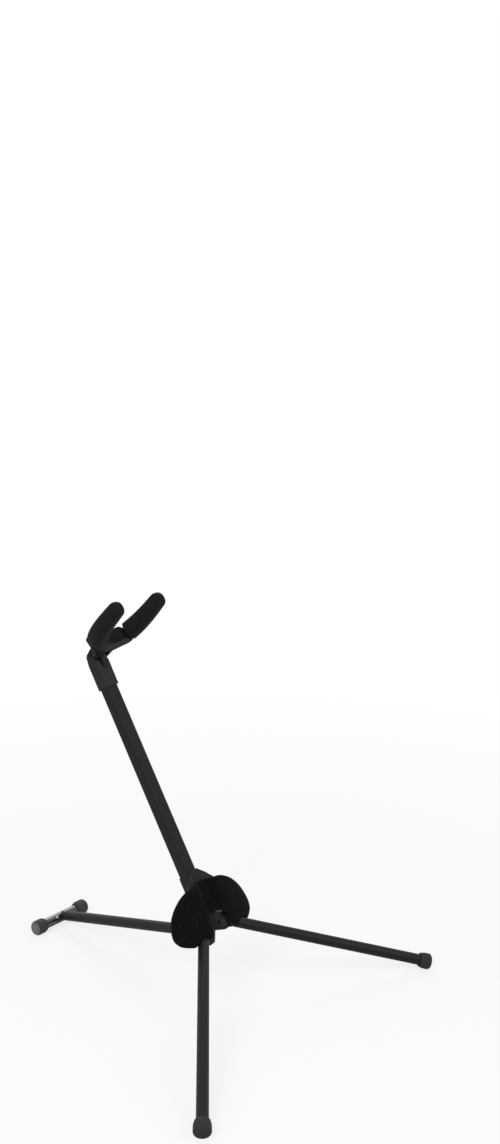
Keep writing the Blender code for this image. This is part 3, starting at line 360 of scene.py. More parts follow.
def group_node(tree, group, inputs):
    """A shared group placed in a material with its own values; what comes out of it."""
    node = tree.nodes.new("ShaderNodeGroup")
    node.node_tree = group
    return feed(tree, node, inputs).outputs


# --- finishes --------------------------------------------------------------------------------
FINISHES = {}                     # every material of the stand, by its name
PILE_DEPTH = 0.12 * MM


def surface(name, colour, rubbed, roughness, spread=0.08, rub=0.4, dust=0.15, peel=500.0,
            grain=2200.0, share=0.4, depth=0.02, metallic=0.0, coat=0.0, sheen=0.0, gloss=0.18,
            cells=None, nap=None):
    """A material from the shared groups, with its own values. depth is the relief's, in
    millimetres; cells is the scale and depth of foam's cells; nap is the scale of a pile's
    strokes and their brushed grey."""
    made = bpy.data.materials.new(name)
    made.use_nodes = True
    tree = made.node_tree
    place = tree.nodes.new("ShaderNodeTexCoord").outputs["Object"]
    mottle = group_node(tree, MOTTLE, {
        "Vector": place, "Colour": (*colour, 1.0), "Rubbed Colour": (*rubbed, 1.0),
        "Roughness": roughness, "Spread": spread, "Rub": rub, "Dust": dust})
    relief = group_node(tree, RELIEF, {
        "Vector": place, "Peel Scale": peel, "Grain Scale": grain, "Grain Share": share})
    shown = mottle["Colour"]
    normal = bump(tree, relief["Height"], depth * MM)
    if cells:
        foam = group_node(tree, CELLS, {"Vector": place, "Scale": cells[0]})
        normal = bump(tree, foam["Height"], cells[1] * MM, normal)
    if nap:
        pile = group_node(tree, NAP, {
            "Vector": place, "Scale": nap[0], "Colour": shown,
            "Brushed Colour": (nap[1], nap[1], nap[1], 1.0)})
        shown = pile["Colour"]
        normal = bump(tree, pile["Height"], PILE_DEPTH, normal)
    feed(tree, tree.nodes["Principled BSDF"], {
        "Metallic": metallic, "Specular IOR Level": gloss, "Coat Weight": coat,
        "Coat Roughness": 0.08, "Sheen Weight": sheen, "Sheen Roughness": 0.35,
        "Base Color": shown, "Roughness": mottle["Roughness"], "Normal": normal})
    FINISHES[name] = made


def make_finishes():
    """Every finish that FINISHES holds: one for each slot, and those of single pieces."""
    powder = dict(peel=900.0, grain=3800.0, share=0.25, depth=0.012)
    spark = dict(peel=1500.0, grain=5200.0, share=0.7, depth=0.022, dust=0.10)
    rubber = dict(peel=700.0, grain=4200.0, share=0.5, depth=0.03, rub=0.5, dust=0.25)
    surface("black_enamel", (0.0082, 0.0078, 0.0079), (0.014, 0.0135, 0.0135), 0.44,
            dust=0.08, **powder)
    surface("slate_enamel", (0.0125, 0.0162, 0.0178), (0.021, 0.025, 0.027), 0.42,
            dust=0.10, **powder)
    surface("moulded_black", (0.0084, 0.0082, 0.0084), (0.0145, 0.014, 0.0145), 0.50, **spark)
    surface("fork_black", (0.0066, 0.0064, 0.0067), (0.011, 0.0106, 0.011), 0.56, gloss=0.10,
            **spark)
    surface("sleeve_black", (0.0092, 0.0090, 0.0092), (0.015, 0.0145, 0.015), 0.38, gloss=0.24,
            **spark)
    surface("foot_rubber", (0.026, 0.0255, 0.026), (0.040, 0.039, 0.039), 0.66, **rubber)
    surface("cap_rubber", (0.046, 0.045, 0.045), (0.066, 0.065, 0.064), 0.60, **rubber)
    surface("foam_black", (0.0082, 0.0079, 0.0083), (0.0125, 0.012, 0.0125), 0.82, peel=1300.0,
            grain=4800.0, share=0.9, depth=0.05, dust=0.12, sheen=0.04, gloss=0.14,
            cells=(1150.0, 0.16))
    surface("velvet_black", (0.0032, 0.0032, 0.0032), (0.0052, 0.0052, 0.0052), 0.95,
            peel=1800.0, grain=5600.0, share=1.0, depth=0.10, dust=0.10, sheen=0.03,
            gloss=0.08, nap=(520.0, 0.0095))
    # Pale grey of the T caps' end discs: painted light, standing in for the lit end faces.
    surface("cap_face_painted_light", (0.135, 0.134, 0.132), (0.19, 0.188, 0.185), 0.55, gloss=0.3,
            **rubber)
    surface("gloss_bar", (0.007, 0.007, 0.008), (0.010, 0.010, 0.011), 0.11, spread=0.02,
            peel=600.0, share=0.1, depth=0.004, coat=0.6, dust=0.06, gloss=0.5)
    surface("black_steel", (0.030, 0.030, 0.032), (0.085, 0.085, 0.09), 0.34, peel=1200.0,
            share=0.5, depth=0.01, metallic=0.85, dust=0.06, rub=0.7)
    surface("bright_steel", (0.42, 0.42, 0.43), (0.55, 0.55, 0.56), 0.24, peel=1200.0,
            share=0.5, depth=0.006, metallic=0.95, dust=0.03)


# --- making pieces ---------------------------------------------------------------------------
EASED_ANGLE = math.radians(34.0)  # an edge that turns by more is eased


def tie(piece, body, slot, node=None, finish=None):
    """Give a piece its finish, which is its slot's unless another is named, and the body that it
    rides on; where it stands for a node, that node is hidden."""
    piece.data.materials.clear()
    piece.data.materials.append(FINISHES[finish or slot])
    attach(piece, body)
    if node:
        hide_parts(node)


def place_piece(mesh, body, slot, node=None, finish=None):
    """A piece under its mesh's name, from a mesh that already lies in its place."""
    piece = bpy.data.objects.new(mesh.name, mesh)
    scene.collection.objects.link(piece)
    tie(piece, body, slot, node, finish)
    return piece


def places(mesh):
    """Every vertex of a mesh as an array of rows."""
    flat = np.empty(len(mesh.vertices) * 3, np.float32)
    mesh.vertices.foreach_get("co", flat)
    return flat.reshape(-1, 3).astype(float)


def put_places(mesh, rows):
    """Move every vertex of a mesh to its row."""
    mesh.vertices.foreach_set("co", rows.astype(np.float32).ravel())
    mesh.update()


def node_copy(node, name, flatten=False):
    """A node's own mesh under another name, its points joined, and where flatten asks for it
    its triangles joined into flat faces."""
    mesh = frame["nodes"][node].data.copy()
    mesh.name = name
    shape = bmesh.new()
    shape.from_mesh(mesh)
    bmesh.ops.remove_doubles(shape, verts=shape.verts, dist=2e-6)
    if flatten:
        bmesh.ops.dissolve_limit(shape, angle_limit=math.radians(0.6), verts=shape.verts,
                                 edges=shape.edges)
    shape.to_mesh(mesh)
    shape.free()
    return mesh


def skin(name, rings, closed=False, capped=False, sharp=40.0):
    """A skin over rings of points [ring, place, xyz]. Each ring closes on itself; closed joins
    the last ring to the first, and capped fills both ends. Edges that turn by more than sharp,
    in degrees, are shaded sharp."""
    rows, columns = rings.shape[:2]
    u, v = np.meshgrid(np.arange(rows if closed else rows - 1), np.arange(columns),
                       indexing="ij")
    next_u, next_v = (u + 1) % rows, (v + 1) % columns
    corners = [u * columns + v, u * columns + next_v, next_u * columns + next_v,
               next_u * columns + v]
    faces = np.stack(corners, axis=-1).reshape(-1, 4).tolist()
    if capped:
        faces.append(list(range(columns - 1, -1, -1)))
        faces.append(list(range((rows - 1) * columns, rows * columns)))
    mesh = bpy.data.meshes.new(name)
    mesh.from_pydata(rings.reshape(-1, 3).tolist(), [], faces)
    shape = bmesh.new()
    shape.from_mesh(mesh)
    bmesh.ops.remove_doubles(shape, verts=shape.verts, dist=1e-7)
    bmesh.ops.recalc_face_normals(shape, faces=shape.faces)
    shape.to_mesh(mesh)
    shape.free()
    mesh.shade_smooth()
    mesh.set_sharp_from_angle(angle=math.radians(sharp))
    return mesh


def rounded(points, radius, steps=5):
    """A profile whose inner corners are rounded: each corner becomes a parabola that leaves
    its two sides at the same distance, at most radius and at most 0.45 of a side."""
    points = np.array(points, float)
    out = [points[0]]
    for before, here, after in zip(points, points[1:], points[2:]):
        reach = min(radius, 0.45 * np.linalg.norm(before - here),
                    0.45 * np.linalg.norm(after - here))
        start = here + (before - here) / np.linalg.norm(before - here) * reach
        end = here + (after - here) / np.linalg.norm(after - here) * reach
        t = np.linspace(0.0, 1.0, steps + 1)[:, None]
        out.extend(start * (1 - t) ** 2 + 2 * here * t * (1 - t) + end * t ** 2)
    out.append(points[-1])
    return np.array(out)


def round_about(direction):
    """A direction made one long, and a ring of unit vectors square to it."""
    direction = np.array(direction, float) / np.linalg.norm(direction)
    helper = np.array([0.0, 0.0, 1.0]) if abs(direction[2]) < 0.9 else np.array([1.0, 0.0, 0.0])
    first = np.cross(helper, direction)
    first /= np.linalg.norm(first)
    second = np.cross(direction, first)
    return direction, np.cos(ANGLES)[:, None] * first + np.sin(ANGLES)[:, None] * second


def turned_rings(origin, direction, r, z):
    """Rings of a turned shape: point(s, a) = origin + direction * z + r * (cos a, sin a). Both
    r and z have a row for each ring, of one value or of one for each point."""
    direction, ring = round_about(direction)
    return np.asarray(origin, float) + z[:, :, None] * direction + r[:, :, None] * ring


def turned(name, origin, direction, profile, closed=False):
    """A turned mesh from a profile of rows (r, z), which is one closed loop or is capped."""
    rings = turned_rings(origin, direction, profile[:, :1], profile[:, 1:])
    return skin(name, rings, closed=closed, capped=not closed)


def eased_piece(node, body, width, finish=None):
    """A moulded node's own shape with a bevel on its sharp edges."""
    mesh = node_copy(node, node + "_eased", flatten=True)
    mesh.shade_smooth()
    mesh.set_sharp_from_angle(angle=EASED_ANGLE)
    piece = place_piece(mesh, body, "moulded_black", node, finish)
    bevel = piece.modifiers.new("eased_edges", "BEVEL")
    bevel.width = width
    bevel.segments = 2
    bevel.limit_method = "ANGLE"
    bevel.angle_limit = EASED_ANGLE
    bevel.use_clamp_overlap = True
    bevel.harden_normals = False


# --- pins, nuts and screws -------------------------------------------------------------------
def fastener(name, origin, direction, rows, body, node=None, finish=None):
    """A turned piece whose rings may be trimmed by a hexagon. Each row is (radius, z, corner):
    r(a) = min(radius, corner * cos 30 / cos of the angle from the middle of a hexagon's side),
    and point(row, a) = origin + direction * z + r(a) * (cos a, sin a)."""
    table = np.array(rows, float)
    side = np.mod(ANGLES, math.pi / 3.0) - math.pi / 6.0
    hexagon = table[:, 2:] * math.cos(math.pi / 6.0) / np.cos(side)
    rings = turned_rings(origin, direction, np.minimum(table[:, :1], hexagon), table[:, 1:2])
    mesh = skin(name, rings, closed=bool(table[0, 0] > 0.0))
    place_piece(mesh, body, "black_steel", node, finish)


def plain(*rows):
    """Rows of (radius, z) as rings that no hexagon trims."""
    return [(radius, z, NO_HEXAGON) for radius, z in rows]


def head_rows(face, head, height, key):
    """A low domed head with a key's hexagon sunk in it, from the middle of the recess out."""
    top = face + height
    deep = top - 0.62 * height
    arc = np.radians(np.linspace(58.0, 0.0, 7))
    rows = [(0.0, deep, key), (key, deep, key), (key, top - 0.16 * height, key)]
    rows += plain((key + 0.25 * MM, top - 0.07 * height))
    rows += plain(*zip(head * np.cos(arc), face + (0.30 + 0.68 * np.sin(arc)) * height))
    return rows + plain((head, face + 0.10 * height), (head - 0.15 * MM, face))


def thread_rows(radius, start, end, pitch=0.5 * MM):
    """Ridges of a thread as plain rings, from start down to end, where the tip is chamfered."""
    rows = []
    for z in np.arange(start, end + 1.6 * pitch, -pitch):
        rows += plain((radius, z), (radius - 0.22 * MM, z - 0.5 * pitch))
    return rows + plain((radius, end + 0.6 * pitch), (radius - 0.45 * MM, end), (0.0, end))


def nut_rows(face, bore, corner, height=2.8 * MM):
    """A lock nut outside a cheek: chamfered hexagon, then the round rim that grips the thread."""
    low, collar = -face - height, -face - 0.70 * height
    rows = plain((bore, low + 0.1 * MM), (bore + 0.5 * MM, low), (0.74 * corner, low),
                 (0.80 * corner, low + 0.25 * MM), (0.80 * corner, collar))
    for t in np.linspace(0.0, 1.0, 5):
        rows.append(((0.84 + 0.16 * t) * corner, collar + (0.10 + 0.35 * t) * MM, corner))
    for t in np.linspace(0.0, 1.0, 5):
        rows.append(((1.0 - 0.12 * t) * corner, -face - 0.40 * MM * (1.0 - t), corner))
    return rows + plain((bore, -face))


def pin_and_nut(joint, pin, face, radius, head):
    """A pivot pin and its nut. The pin's longer end is its thread, on the nut's side."""
    centre = pivot(joint)
    axis = np.array(JOINTS[joint]["axis"], float)
    low, high = (np.array(corner, float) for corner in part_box(pin + "_pin"))
    if (0.5 * (low + high) - centre) @ axis > 0.0:
        axis = -axis
    rows = head_rows(face, head, PIN_HEAD_H, 0.36 * head) + plain((radius, face))
    rows += thread_rows(radius, -face + 1.0 * MM, -face - PIN_PAST)
    fastener(pin + "_pin_made", centre, axis, rows, "frame", pin + "_pin")
    rows = nut_rows(face, radius + 0.08 * MM, radius + 2.4 * MM)
    fastener(pin + "_nut_made", centre, axis, rows, "frame", pin + "_nut")


def pivots():
    """The pins and nuts of the three legs and of the fork."""
    for leg in ("t_leg", "near_leg", "far_leg"):
        pin_and_nut(leg + "_fold", leg + "_pivot", CHEEKS, PIN_R, PIN_HEAD_R)
    pin_and_nut("yoke_fold", "yoke_pivot", SLEEVE_HALF, YOKE_PIN_R, YOKE_HEAD_R)


# --- legs ------------------------------------------------------------------------------------
def leg_line(joint, foot):
    """Unit vector down a leg, from its pivot to the middle of its foot, and its length."""
    line = foot - pivot(joint)
    length = float(np.linalg.norm(line))
    return line / length, length


def flat_underside(mesh):
    """Rubber rests on the floor: nothing of it is below Z = 0."""
    rows = places(mesh)
    rows[:, 2] = np.maximum(rows[:, 2], 0.0)
    put_places(mesh, rows)


def rear_tube(joint, direction, length, body):
    """An open-ended tube with eased rims: its section is one closed loop of (r, z)."""
    start, end, edge = LEG_START, length - TUBE_SHORT, 0.4 * MM
    section = np.array([
        (LEG_BORE, start + edge), (LEG_BORE + 0.5 * edge, start), (LEG_R - edge, start),
        (LEG_R, start + edge), (LEG_R, end - edge), (LEG_R - edge, end),
        (LEG_BORE + 0.5 * edge, end), (LEG_BORE, end - edge)])
    mesh = turned(body + "_tube_smooth", pivot(joint), direction, section, closed=True)
    place_piece(mesh, body, "black_enamel", body + "_tube")


def rear_cap(foot, direction, body):
    """A rubber cap: from inside its mouth, over a thin edge, along the barrel and round a
    quarter circle to a flat end with a shallow dish in it."""
    bore = LEG_R + 0.3 * MM
    mouth = -7.0 * MM
    corner = 2.7 * MM
    shoulder = 3.7 * MM
    end = shoulder + corner
    barrel = [(bore - 0.6 * MM, -1.4 * MM), (bore, -2.0 * MM), (bore, mouth),
              (bore + 0.8 * MM, mouth), (0.87 * FOOT_R, mouth + 0.9 * MM),
              (0.94 * FOOT_R, -4.2 * MM), (0.985 * FOOT_R, -2.0 * MM), (FOOT_R, 0.0),
              (FOOT_R, shoulder)]
    a = np.radians(np.linspace(8.0, 84.0, 10))
    edge = np.stack([FOOT_R - corner + corner * np.cos(a), shoulder + corner * np.sin(a)],
                    axis=1)
    dish = [(0.62 * FOOT_R, end), (0.52 * FOOT_R, end - 0.5 * MM),
            (0.30 * FOOT_R, end - 0.6 * MM)]
    profile = rounded(np.concatenate([barrel, edge, dish]), 0.8 * MM)
    mesh = turned(body + "_cap_smooth", foot, direction, profile)
    flat_underside(mesh)
    place_piece(mesh, body, "foot_rubber", body + "_foot_cap")


def rear_legs():
    """The two legs with single feet: each has its tube, its cap and its knuckle."""
    for label, side in SIDES:
        body = label + "_leg"
        direction, length = leg_line(body + "_fold", rear_foot(side))
        rear_tube(body + "_fold", direction, length, body)
        rear_cap(rear_foot(side), direction, body)
        eased_piece(body + "_knuckle", body, KNUCKLE_EASE)


def t_leg():
    """The T leg: its tube stops at an upright plane just before the crossbar, where the plug
    in its end goes on. Above the bar's flank the plug stops at an upright plane as well:
    ahead(z) = max(sqrt(R^2 - z^2), PLUG_FLANK), z being the height over the bar's axis."""
    bar = np.array([HUB_X - BAR_AT, 0.0, BAR_Z])
    origin = pivot("t_leg_fold")
    direction, length = leg_line("t_leg_fold", bar + np.array([0.0, 0.0, BAR_RISE]))
    _, ring = round_about(direction)

    def down_to(radius, ahead=BAR_FLANK):
        """How far down each line of the tube is the plane that is ahead of the bar's axis."""
        return (bar[0] + ahead - origin[0] - ring[:, 0] * radius) / direction[0]

    def fitted(radius):
        """How far down each line of the plug is its end, up against the bar's flank."""
        z = origin[2] + ring[:, 2] * radius + direction[2] * down_to(radius, PLUG_FLANK) - bar[2]
        flank = np.sqrt(np.maximum(BAR_R ** 2 - z ** 2, 0.0))
        return down_to(radius, np.maximum(flank, PLUG_FLANK))

    def piece(name, rows, closed, slot, node):
        """Each row is a ring's radius and how far down it is, the same or not all round."""
        r = np.array([[radius] for radius, _ in rows])
        z = np.stack([np.broadcast_to(down, ANGLES.shape) for _, down in rows])
        mesh = skin(name, turned_rings(origin, direction, r, z), closed=closed)
        place_piece(mesh, "t_leg", slot, node)

    ease = 0.3 * MM
    rim = LEG_R - ease
    tube = [(LEG_BORE, LEG_START), (rim, LEG_START), (LEG_R, LEG_START + ease),
            (LEG_R, 0.5 * length), (LEG_R, down_to(LEG_R) - ease), (rim, down_to(rim)),
            (LEG_BORE, down_to(LEG_BORE))]
    piece("t_leg_tube_smooth", tube, True, "slate_enamel", "t_leg_tube")
    start = length - PLUG_LENGTH
    plug = [(0.0, start), (PLUG_R, start), (PLUG_R, fitted(PLUG_R) - ease)]
    for radius in (PLUG_R - ease, 0.6 * PLUG_R, 0.3 * PLUG_R, 0.0):
        plug.append((radius, fitted(radius)))
    piece("t_leg_plug_smooth", plug, False, "moulded_black", "t_leg_end_plug")
    eased_piece("t_leg_knuckle", "t_leg", KNUCKLE_EASE)
    crossbar(bar)
    for side in SIDES:
        bar_cap(bar, *side)
    through_screw(bar, origin + direction * (length - SCREW_TO))
    flank_screw(bar)


def crossbar(centre):
    """Round bar with two shallow grooves, carried along Y: each takes from the radius
    depth * max(1 - off^4, 0), off being 1 where the groove's half width ends."""
    depth = 0.5 * MM
    half_width = math.radians(9.0)
    a = np.linspace(0.0, 2.0 * math.pi, 144, endpoint=False)
    radius = np.full_like(a, BAR_R)
    for groove in (math.radians(60.0), math.radians(7.5)):
        off = np.abs(np.arctan2(np.sin(a - groove), np.cos(a - groove))) / half_width
        radius -= depth * np.clip(1.0 - off ** 4, 0.0, 1.0)
    ring = np.stack([np.cos(a), np.zeros_like(a), np.sin(a)], axis=1)
    ease = 0.4 * MM
    rings = [centre + ring * (radius - shrink)[:, None] + ACROSS * y for y, shrink in (
        (-BAR_HALF, ease), (-BAR_HALF + ease, 0.0), (0.0, 0.0), (BAR_HALF - ease, 0.0),
        (BAR_HALF, ease))]
    mesh = skin("t_foot_bar_smooth", np.stack(rings), capped=True)
    place_piece(mesh, "t_leg", "gloss_bar", "t_foot_bar")


def bar_cap(centre, label, side):
    """A cap on the bar's end, and the disc with a raised rim on its tip, whose paler grey is painted light
    standing in for the lit end face.
    """
    tip = BAR_HALF + BAR_CAP_PAST
    mouth = tip - BAR_CAP_LENGTH
    bore = BAR_R + 0.3 * MM
    barrel = [(bore - 0.4 * MM, BAR_HALF + 0.3 * MM), (bore, BAR_HALF - 0.4 * MM),
              (bore, mouth), (bore + 1.0 * MM, mouth),
              (BAR_CAP_R - 0.9 * MM, mouth + 1.2 * MM), (BAR_CAP_R, mouth + 4.0 * MM),
              (BAR_CAP_R, tip - 2.2 * MM), (BAR_CAP_R - 0.5 * MM, tip - 0.9 * MM),
              (BAR_CAP_R - 1.6 * MM, tip), (BAR_CAP_R - 2.6 * MM, tip),
              (BAR_CAP_R - 3.0 * MM, tip - 0.4 * MM)]
    disc = [(0.0, tip - 0.05 * MM), (6.5 * MM, tip - 0.05 * MM), (6.9 * MM, tip + 0.25 * MM),
            (7.4 * MM, tip + 0.25 * MM), (7.9 * MM, tip - 0.4 * MM), (7.9 * MM, tip - 1.6 * MM),
            (0.0, tip - 1.6 * MM)]
    direction = ACROSS * side
    mesh = turned("t_foot_" + label + "_cap_smooth", centre, direction,
                  rounded(barrel, 0.5 * MM))
    flat_underside(mesh)
    place_piece(mesh, "t_leg", "foot_rubber", "t_foot_" + label + "_cap", "cap_rubber")
    mesh = turned("t_foot_" + label + "_cap_face", centre, direction, rounded(disc, 0.25 * MM))
    # The disc's paler grey is painted light on the cap's end face.
    place_piece(mesh, "t_leg", "foot_rubber", None, "cap_face_painted_light")


def through_screw(centre, inside):
    """The screw through the bar into the leg's plug, with a washer under its head that fits
    the bar."""
    seat = BAR_R + 0.5 * MM
    under = BAR_R - 0.9 * MM
    end = -17.6 * MM
    rows = head_rows(seat, 3.5 * MM, 1.8 * MM, 1.3 * MM)
    rows += plain((3.7 * MM, seat), (3.9 * MM, seat - 0.3 * MM), (3.7 * MM, under),
                  (2.0 * MM, under))
    rows += plain((2.0 * MM, end + 0.8 * MM), (1.4 * MM, end), (0.0, end))
    fastener("t_foot_screw_made", centre, centre - inside, rows, "t_leg", "t_foot_screw")


def flank_screw(centre):
    """A small bright screw in the bar's near flank, beside the leg."""
    flank = math.radians(44.0)
    face = BAR_R - 0.2 * MM
    tip = BAR_R - 3.0 * MM
    rows = head_rows(face, 1.9 * MM, 1.0 * MM, 0.8 * MM)
    rows += plain((1.0 * MM, face), (1.0 * MM, tip), (0.0, tip))
    out = (math.cos(flank), 0.0, math.sin(flank))
    fastener("bar_flank_screw", centre - ACROSS * 8.2 * MM, out, rows, "t_leg",
             finish="bright_steel")


# --- arm -------------------------------------------------------------------------------------
def square_ring(size, corner, along):
    """A square with corners of quarter circles round the arm's axis, square to it."""
    a = np.radians(np.linspace(0.0, 90.0, 9))
    flat = 0.5 * size - corner
    across, back = [], []
    for quarter, (x, y) in enumerate(((1, 1), (-1, 1), (-1, -1), (1, -1))):
        turn = a + quarter * 0.5 * math.pi
        across.append(x * flat + corner * np.cos(turn))
        back.append(y * flat + corner * np.sin(turn))
    return (arm_point(along, 0.0) + np.concatenate(across)[:, None] * ACROSS
            - np.concatenate(back)[:, None] * ARM_FRONT)


def square_tube(name, rows, slot, node=None):
    """Square rings, each (size, corner, along), carried out, over the rims and back inside."""
    mesh = skin(name, np.stack([square_ring(*row) for row in rows]), closed=True)
    place_piece(mesh, "frame", slot, node)


def arm_tube():
    """The square tube of the arm, open at both ends, its rims eased."""
    ease = 0.3 * MM
    end = ARM_OUTER - 2.0 * ease
    square_tube("arm_tube_smooth", (
        (ARM_INNER, 0.8 * MM, ARM_LOW), (end, 1.9 * MM, ARM_LOW),
        (ARM_OUTER, 2.2 * MM, ARM_LOW + ease), (ARM_OUTER, 2.2 * MM, ARM_HIGH - ease),
        (end, 1.9 * MM, ARM_HIGH), (ARM_INNER, 0.8 * MM, ARM_HIGH)), "black_enamel", "arm_tube")


def collar():
    """The lip of the moulded collar, round the arm's foot, and its grub screw."""
    square_tube("collar_lip", (
        (COLLAR_INNER, 1.9 * MM, COLLAR_LOW), (COLLAR_OUTER - 0.2 * MM, 2.2 * MM, COLLAR_LOW),
        (COLLAR_OUTER, 2.4 * MM, COLLAR_LOW + 0.2 * MM),
        (COLLAR_OUTER, 2.4 * MM, COLLAR_HIGH - 0.6 * MM),
        (COLLAR_OUTER - 0.4 * MM, 2.3 * MM, COLLAR_HIGH - 0.15 * MM),
        (COLLAR_OUTER - 0.8 * MM, 2.2 * MM, COLLAR_HIGH),
        (COLLAR_INNER, 1.9 * MM, COLLAR_HIGH)), "moulded_black")
    face = 0.5 * COLLAR_OUTER
    key = 0.9 * MM
    rows = [(0.0, face - 0.7 * MM, key), (key, face - 0.7 * MM, key),
            (key, face + 0.2 * MM, key)]
    rows += plain((1.2 * MM, face + 0.3 * MM), (1.7 * MM, face + 0.25 * MM),
                  (1.9 * MM, face - 0.1 * MM), (1.9 * MM, face - 1.4 * MM),
                  (0.0, face - 1.4 * MM))
    fastener("collar_screw", arm_point(27.9 * MM, 2.6 * MM), -ACROSS, rows, "frame")


# --- fork ------------------------------------------------------------------------------------
def curve_through(knots, count):
    """A Catmull-Rom curve through the knots, read at count even parameters."""
    knots = np.array(knots, float)
    padded = np.vstack([2 * knots[0] - knots[1], knots, 2 * knots[-1] - knots[-2]])
    s = np.linspace(0.0, len(knots) - 1.0, count)
    i = np.minimum(s.astype(int), len(knots) - 2)
    t = (s - i)[:, None]
    p0, p1, p2, p3 = padded[i], padded[i + 1], padded[i + 2], padded[i + 3]
    return 0.5 * (2 * p1 + (p2 - p0) * t + (2 * p0 - 5 * p1 + 4 * p2 - p3) * t ** 2
                  + (3 * p1 - p0 - 3 * p2 + p3) * t ** 3)


def prong_sleeves():
    """A squared oval carried up a curved prong; its half sizes shrink towards the tip and
    close over it as cos and sin of one quarter turn, and at the mouth it turns inwards."""
    end = 1.0 - PAD_TAPER
    knots = [(0.30 * PRONG_Y, 13.0 * MM), (0.66 * PRONG_Y, 25.0 * MM),
             (0.90 * PRONG_Y, 42.0 * MM), (PRONG_Y, 62.0 * MM),
             (PRONG_Y, PRONG_TIP - PAD_HALF_D * end)]
    count, mouth = 97, 32
    path = curve_through(knots, count)
    slope = np.gradient(path, axis=0)
    slope /= np.linalg.norm(slope, axis=1)[:, None]
    taper = 1.0 - PAD_TAPER * np.linspace(0.0, 1.0, count) ** 2
    oval_x, oval_y = (np.sign(wave) * np.abs(wave) ** (2.0 / PAD_SQUARE)
                      for wave in (np.cos(ANGLES), np.sin(ANGLES)))
    sections = []
    for inset, back in ((4.0, 0.6), (3.0, 0.15), (1.6, 0.0), (0.7, 0.25), (0.2, 0.8)):
        sections.append((path[mouth] + slope[mouth] * back * MM, slope[mouth],
                         PAD_HALF_W * taper[mouth] - inset * MM,
                         PAD_HALF_D * taper[mouth] - inset * MM))
    for i in range(mouth + 3, count):
        sections.append((path[i], slope[i], PAD_HALF_W * taper[i], PAD_HALF_D * taper[i]))
    for quarter in np.radians(np.linspace(7.5, 86.0, 12)):
        sections.append((path[-1] + slope[-1] * PAD_HALF_D * end * math.sin(quarter), slope[-1],
                         PAD_HALF_W * end * math.cos(quarter),
                         PAD_HALF_D * end * math.cos(quarter)))
    for label, side in SIDES:
        rings = []
        for at, (aside, up), half_w, half_d in sections:
            flat = at + (oval_x * half_w)[:, None] * np.array([up, -aside])
            rings.append(pivot("yoke_fold") + (side * flat[:, :1]) * ACROSS
                         + flat[:, 1:] * UP_FORK + (oval_y * half_d)[:, None] * FORK_BACK)
        mesh = skin(label + "_prong_sleeve", np.stack(rings), capped=True, sharp=60.0)
        piece = place_piece(mesh, "yoke", "foam_black", label + "_prong_pad")


# --- saddle ----------------------------------------------------------------------------------
VOXEL = 1.3 * MM
AIR_FRAMES = 20
MOST_MOVE = 1.2 * MM              # the air moves no point of the cushion farther
LEG_CLEAR = 9.0 * MM              # points this near to a rear leg's axis are held
BACK_FACING = -0.2                # and so are those whose normals lean this far to the shell


def bake_modifiers(piece):
    """Apply what modifies a piece to its mesh."""
    bpy.context.view_layer.update()
    graph = bpy.context.evaluated_depsgraph_get()
    result = bpy.data.meshes.new_from_object(piece.evaluated_get(graph))
    piece.modifiers.clear()
    old = piece.data
    result.name = old.name + "_made"
    piece.data = result
    bpy.data.meshes.remove(old)


def relax(piece, rounds):
    """Draw every point halfway towards the mean of its neighbours, so many times."""
    smooth = piece.modifiers.new("relax", "SMOOTH")
    smooth.factor = 0.5
    smooth.iterations = rounds
    bake_modifiers(piece)
    piece.data.shade_smooth()


def held_back(mesh):
    """Which points of the cushion stay: those that face the shell, and those round the legs."""
    rows = places(mesh)
    normals = np.empty(len(rows) * 3, np.float32)
    mesh.vertices.foreach_get("normal", normals)
    held = normals.reshape(-1, 3) @ ARM_FRONT < BACK_FACING
    for label, side in SIDES:
        start = pivot(label + "_leg_fold")
        line, _ = leg_line(label + "_leg_fold", rear_foot(side))
        held |= np.linalg.norm(np.cross(rows - start, line), axis=1) < LEG_CLEAR
    return held


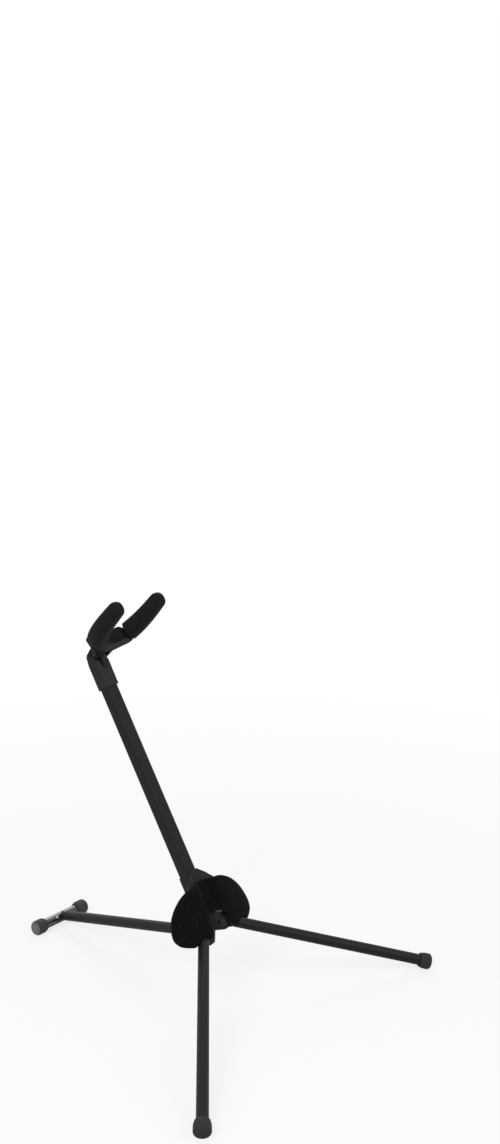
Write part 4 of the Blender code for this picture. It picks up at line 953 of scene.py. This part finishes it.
def inflate(piece):
    """Cloth filled with air: the held points stay and the others move at most MOST_MOVE."""
    before = places(piece.data)
    group = piece.vertex_groups.new(name="held")
    group.add(np.nonzero(held_back(piece.data))[0].tolist(), 1.0, "REPLACE")
    air = piece.modifiers.new("air", "CLOTH")
    air.collision_settings.use_collision = False
    cloth = air.settings
    cloth.vertex_group_mass = "held"
    cloth.use_pressure = True
    cloth.uniform_pressure_force = 4.0
    cloth.effector_weights.gravity = 0.0
    cloth.quality = 8
    cloth.mass = 0.25
    cloth.tension_stiffness = 30.0
    cloth.compression_stiffness = 30.0
    cloth.shear_stiffness = 12.0
    cloth.bending_stiffness = 0.4
    for step in range(1, AIR_FRAMES + 1):
        scene.frame_set(step)
    bake_modifiers(piece)
    move = places(piece.data) - before
    length = np.linalg.norm(move, axis=1, keepdims=True)
    put_places(piece.data, before + move * np.minimum(1.0, MOST_MOVE / np.maximum(length, 1e-9)))
    scene.frame_set(1)


def saddle_cushion():
    """The pad's own solid, skinned finely: its back is held to the shell, and its front is
    filled with air."""
    piece = bpy.data.objects.new("saddle_cushion", node_copy("saddle_pad", "saddle_cushion"))
    scene.collection.objects.link(piece)
    remesh = piece.modifiers.new("skin", "REMESH")
    remesh.mode = "VOXEL"
    remesh.voxel_size = VOXEL
    remesh.use_smooth_shade = True
    bake_modifiers(piece)
    relax(piece, 5)
    inflate(piece)
    relax(piece, 2)
    fine = piece.modifiers.new("finer", "SUBSURF")
    fine.levels = fine.render_levels = 1
    tie(piece, "frame", "velvet_black", "saddle_pad")


# --- making the object -----------------------------------------------------------------------
add_camera()
add_room()
MOTTLE = mottle_group()
RELIEF = relief_group()
CELLS = cells_group()
NAP = nap_group()
make_finishes()

for part in frame["record"]["subparts"]:
    thing = frame["nodes"][part["node"]]
    thing.data.materials.clear()
    thing.data.materials.append(FINISHES[part["material_slot"]])

rear_legs()
t_leg()
pivots()
arm_tube()
collar()
prong_sleeves()
saddle_cushion()
for node, width in (("hub_body", 0.7 * MM), ("arm_plug", 0.4 * MM), ("saddle_shell", 0.5 * MM)):
    eased_piece(node, "frame", width)
eased_piece("yoke_sleeve", "frame", 1.1 * MM, "sleeve_black")
eased_piece("yoke_fork", "yoke", 0.7 * MM, "fork_black")
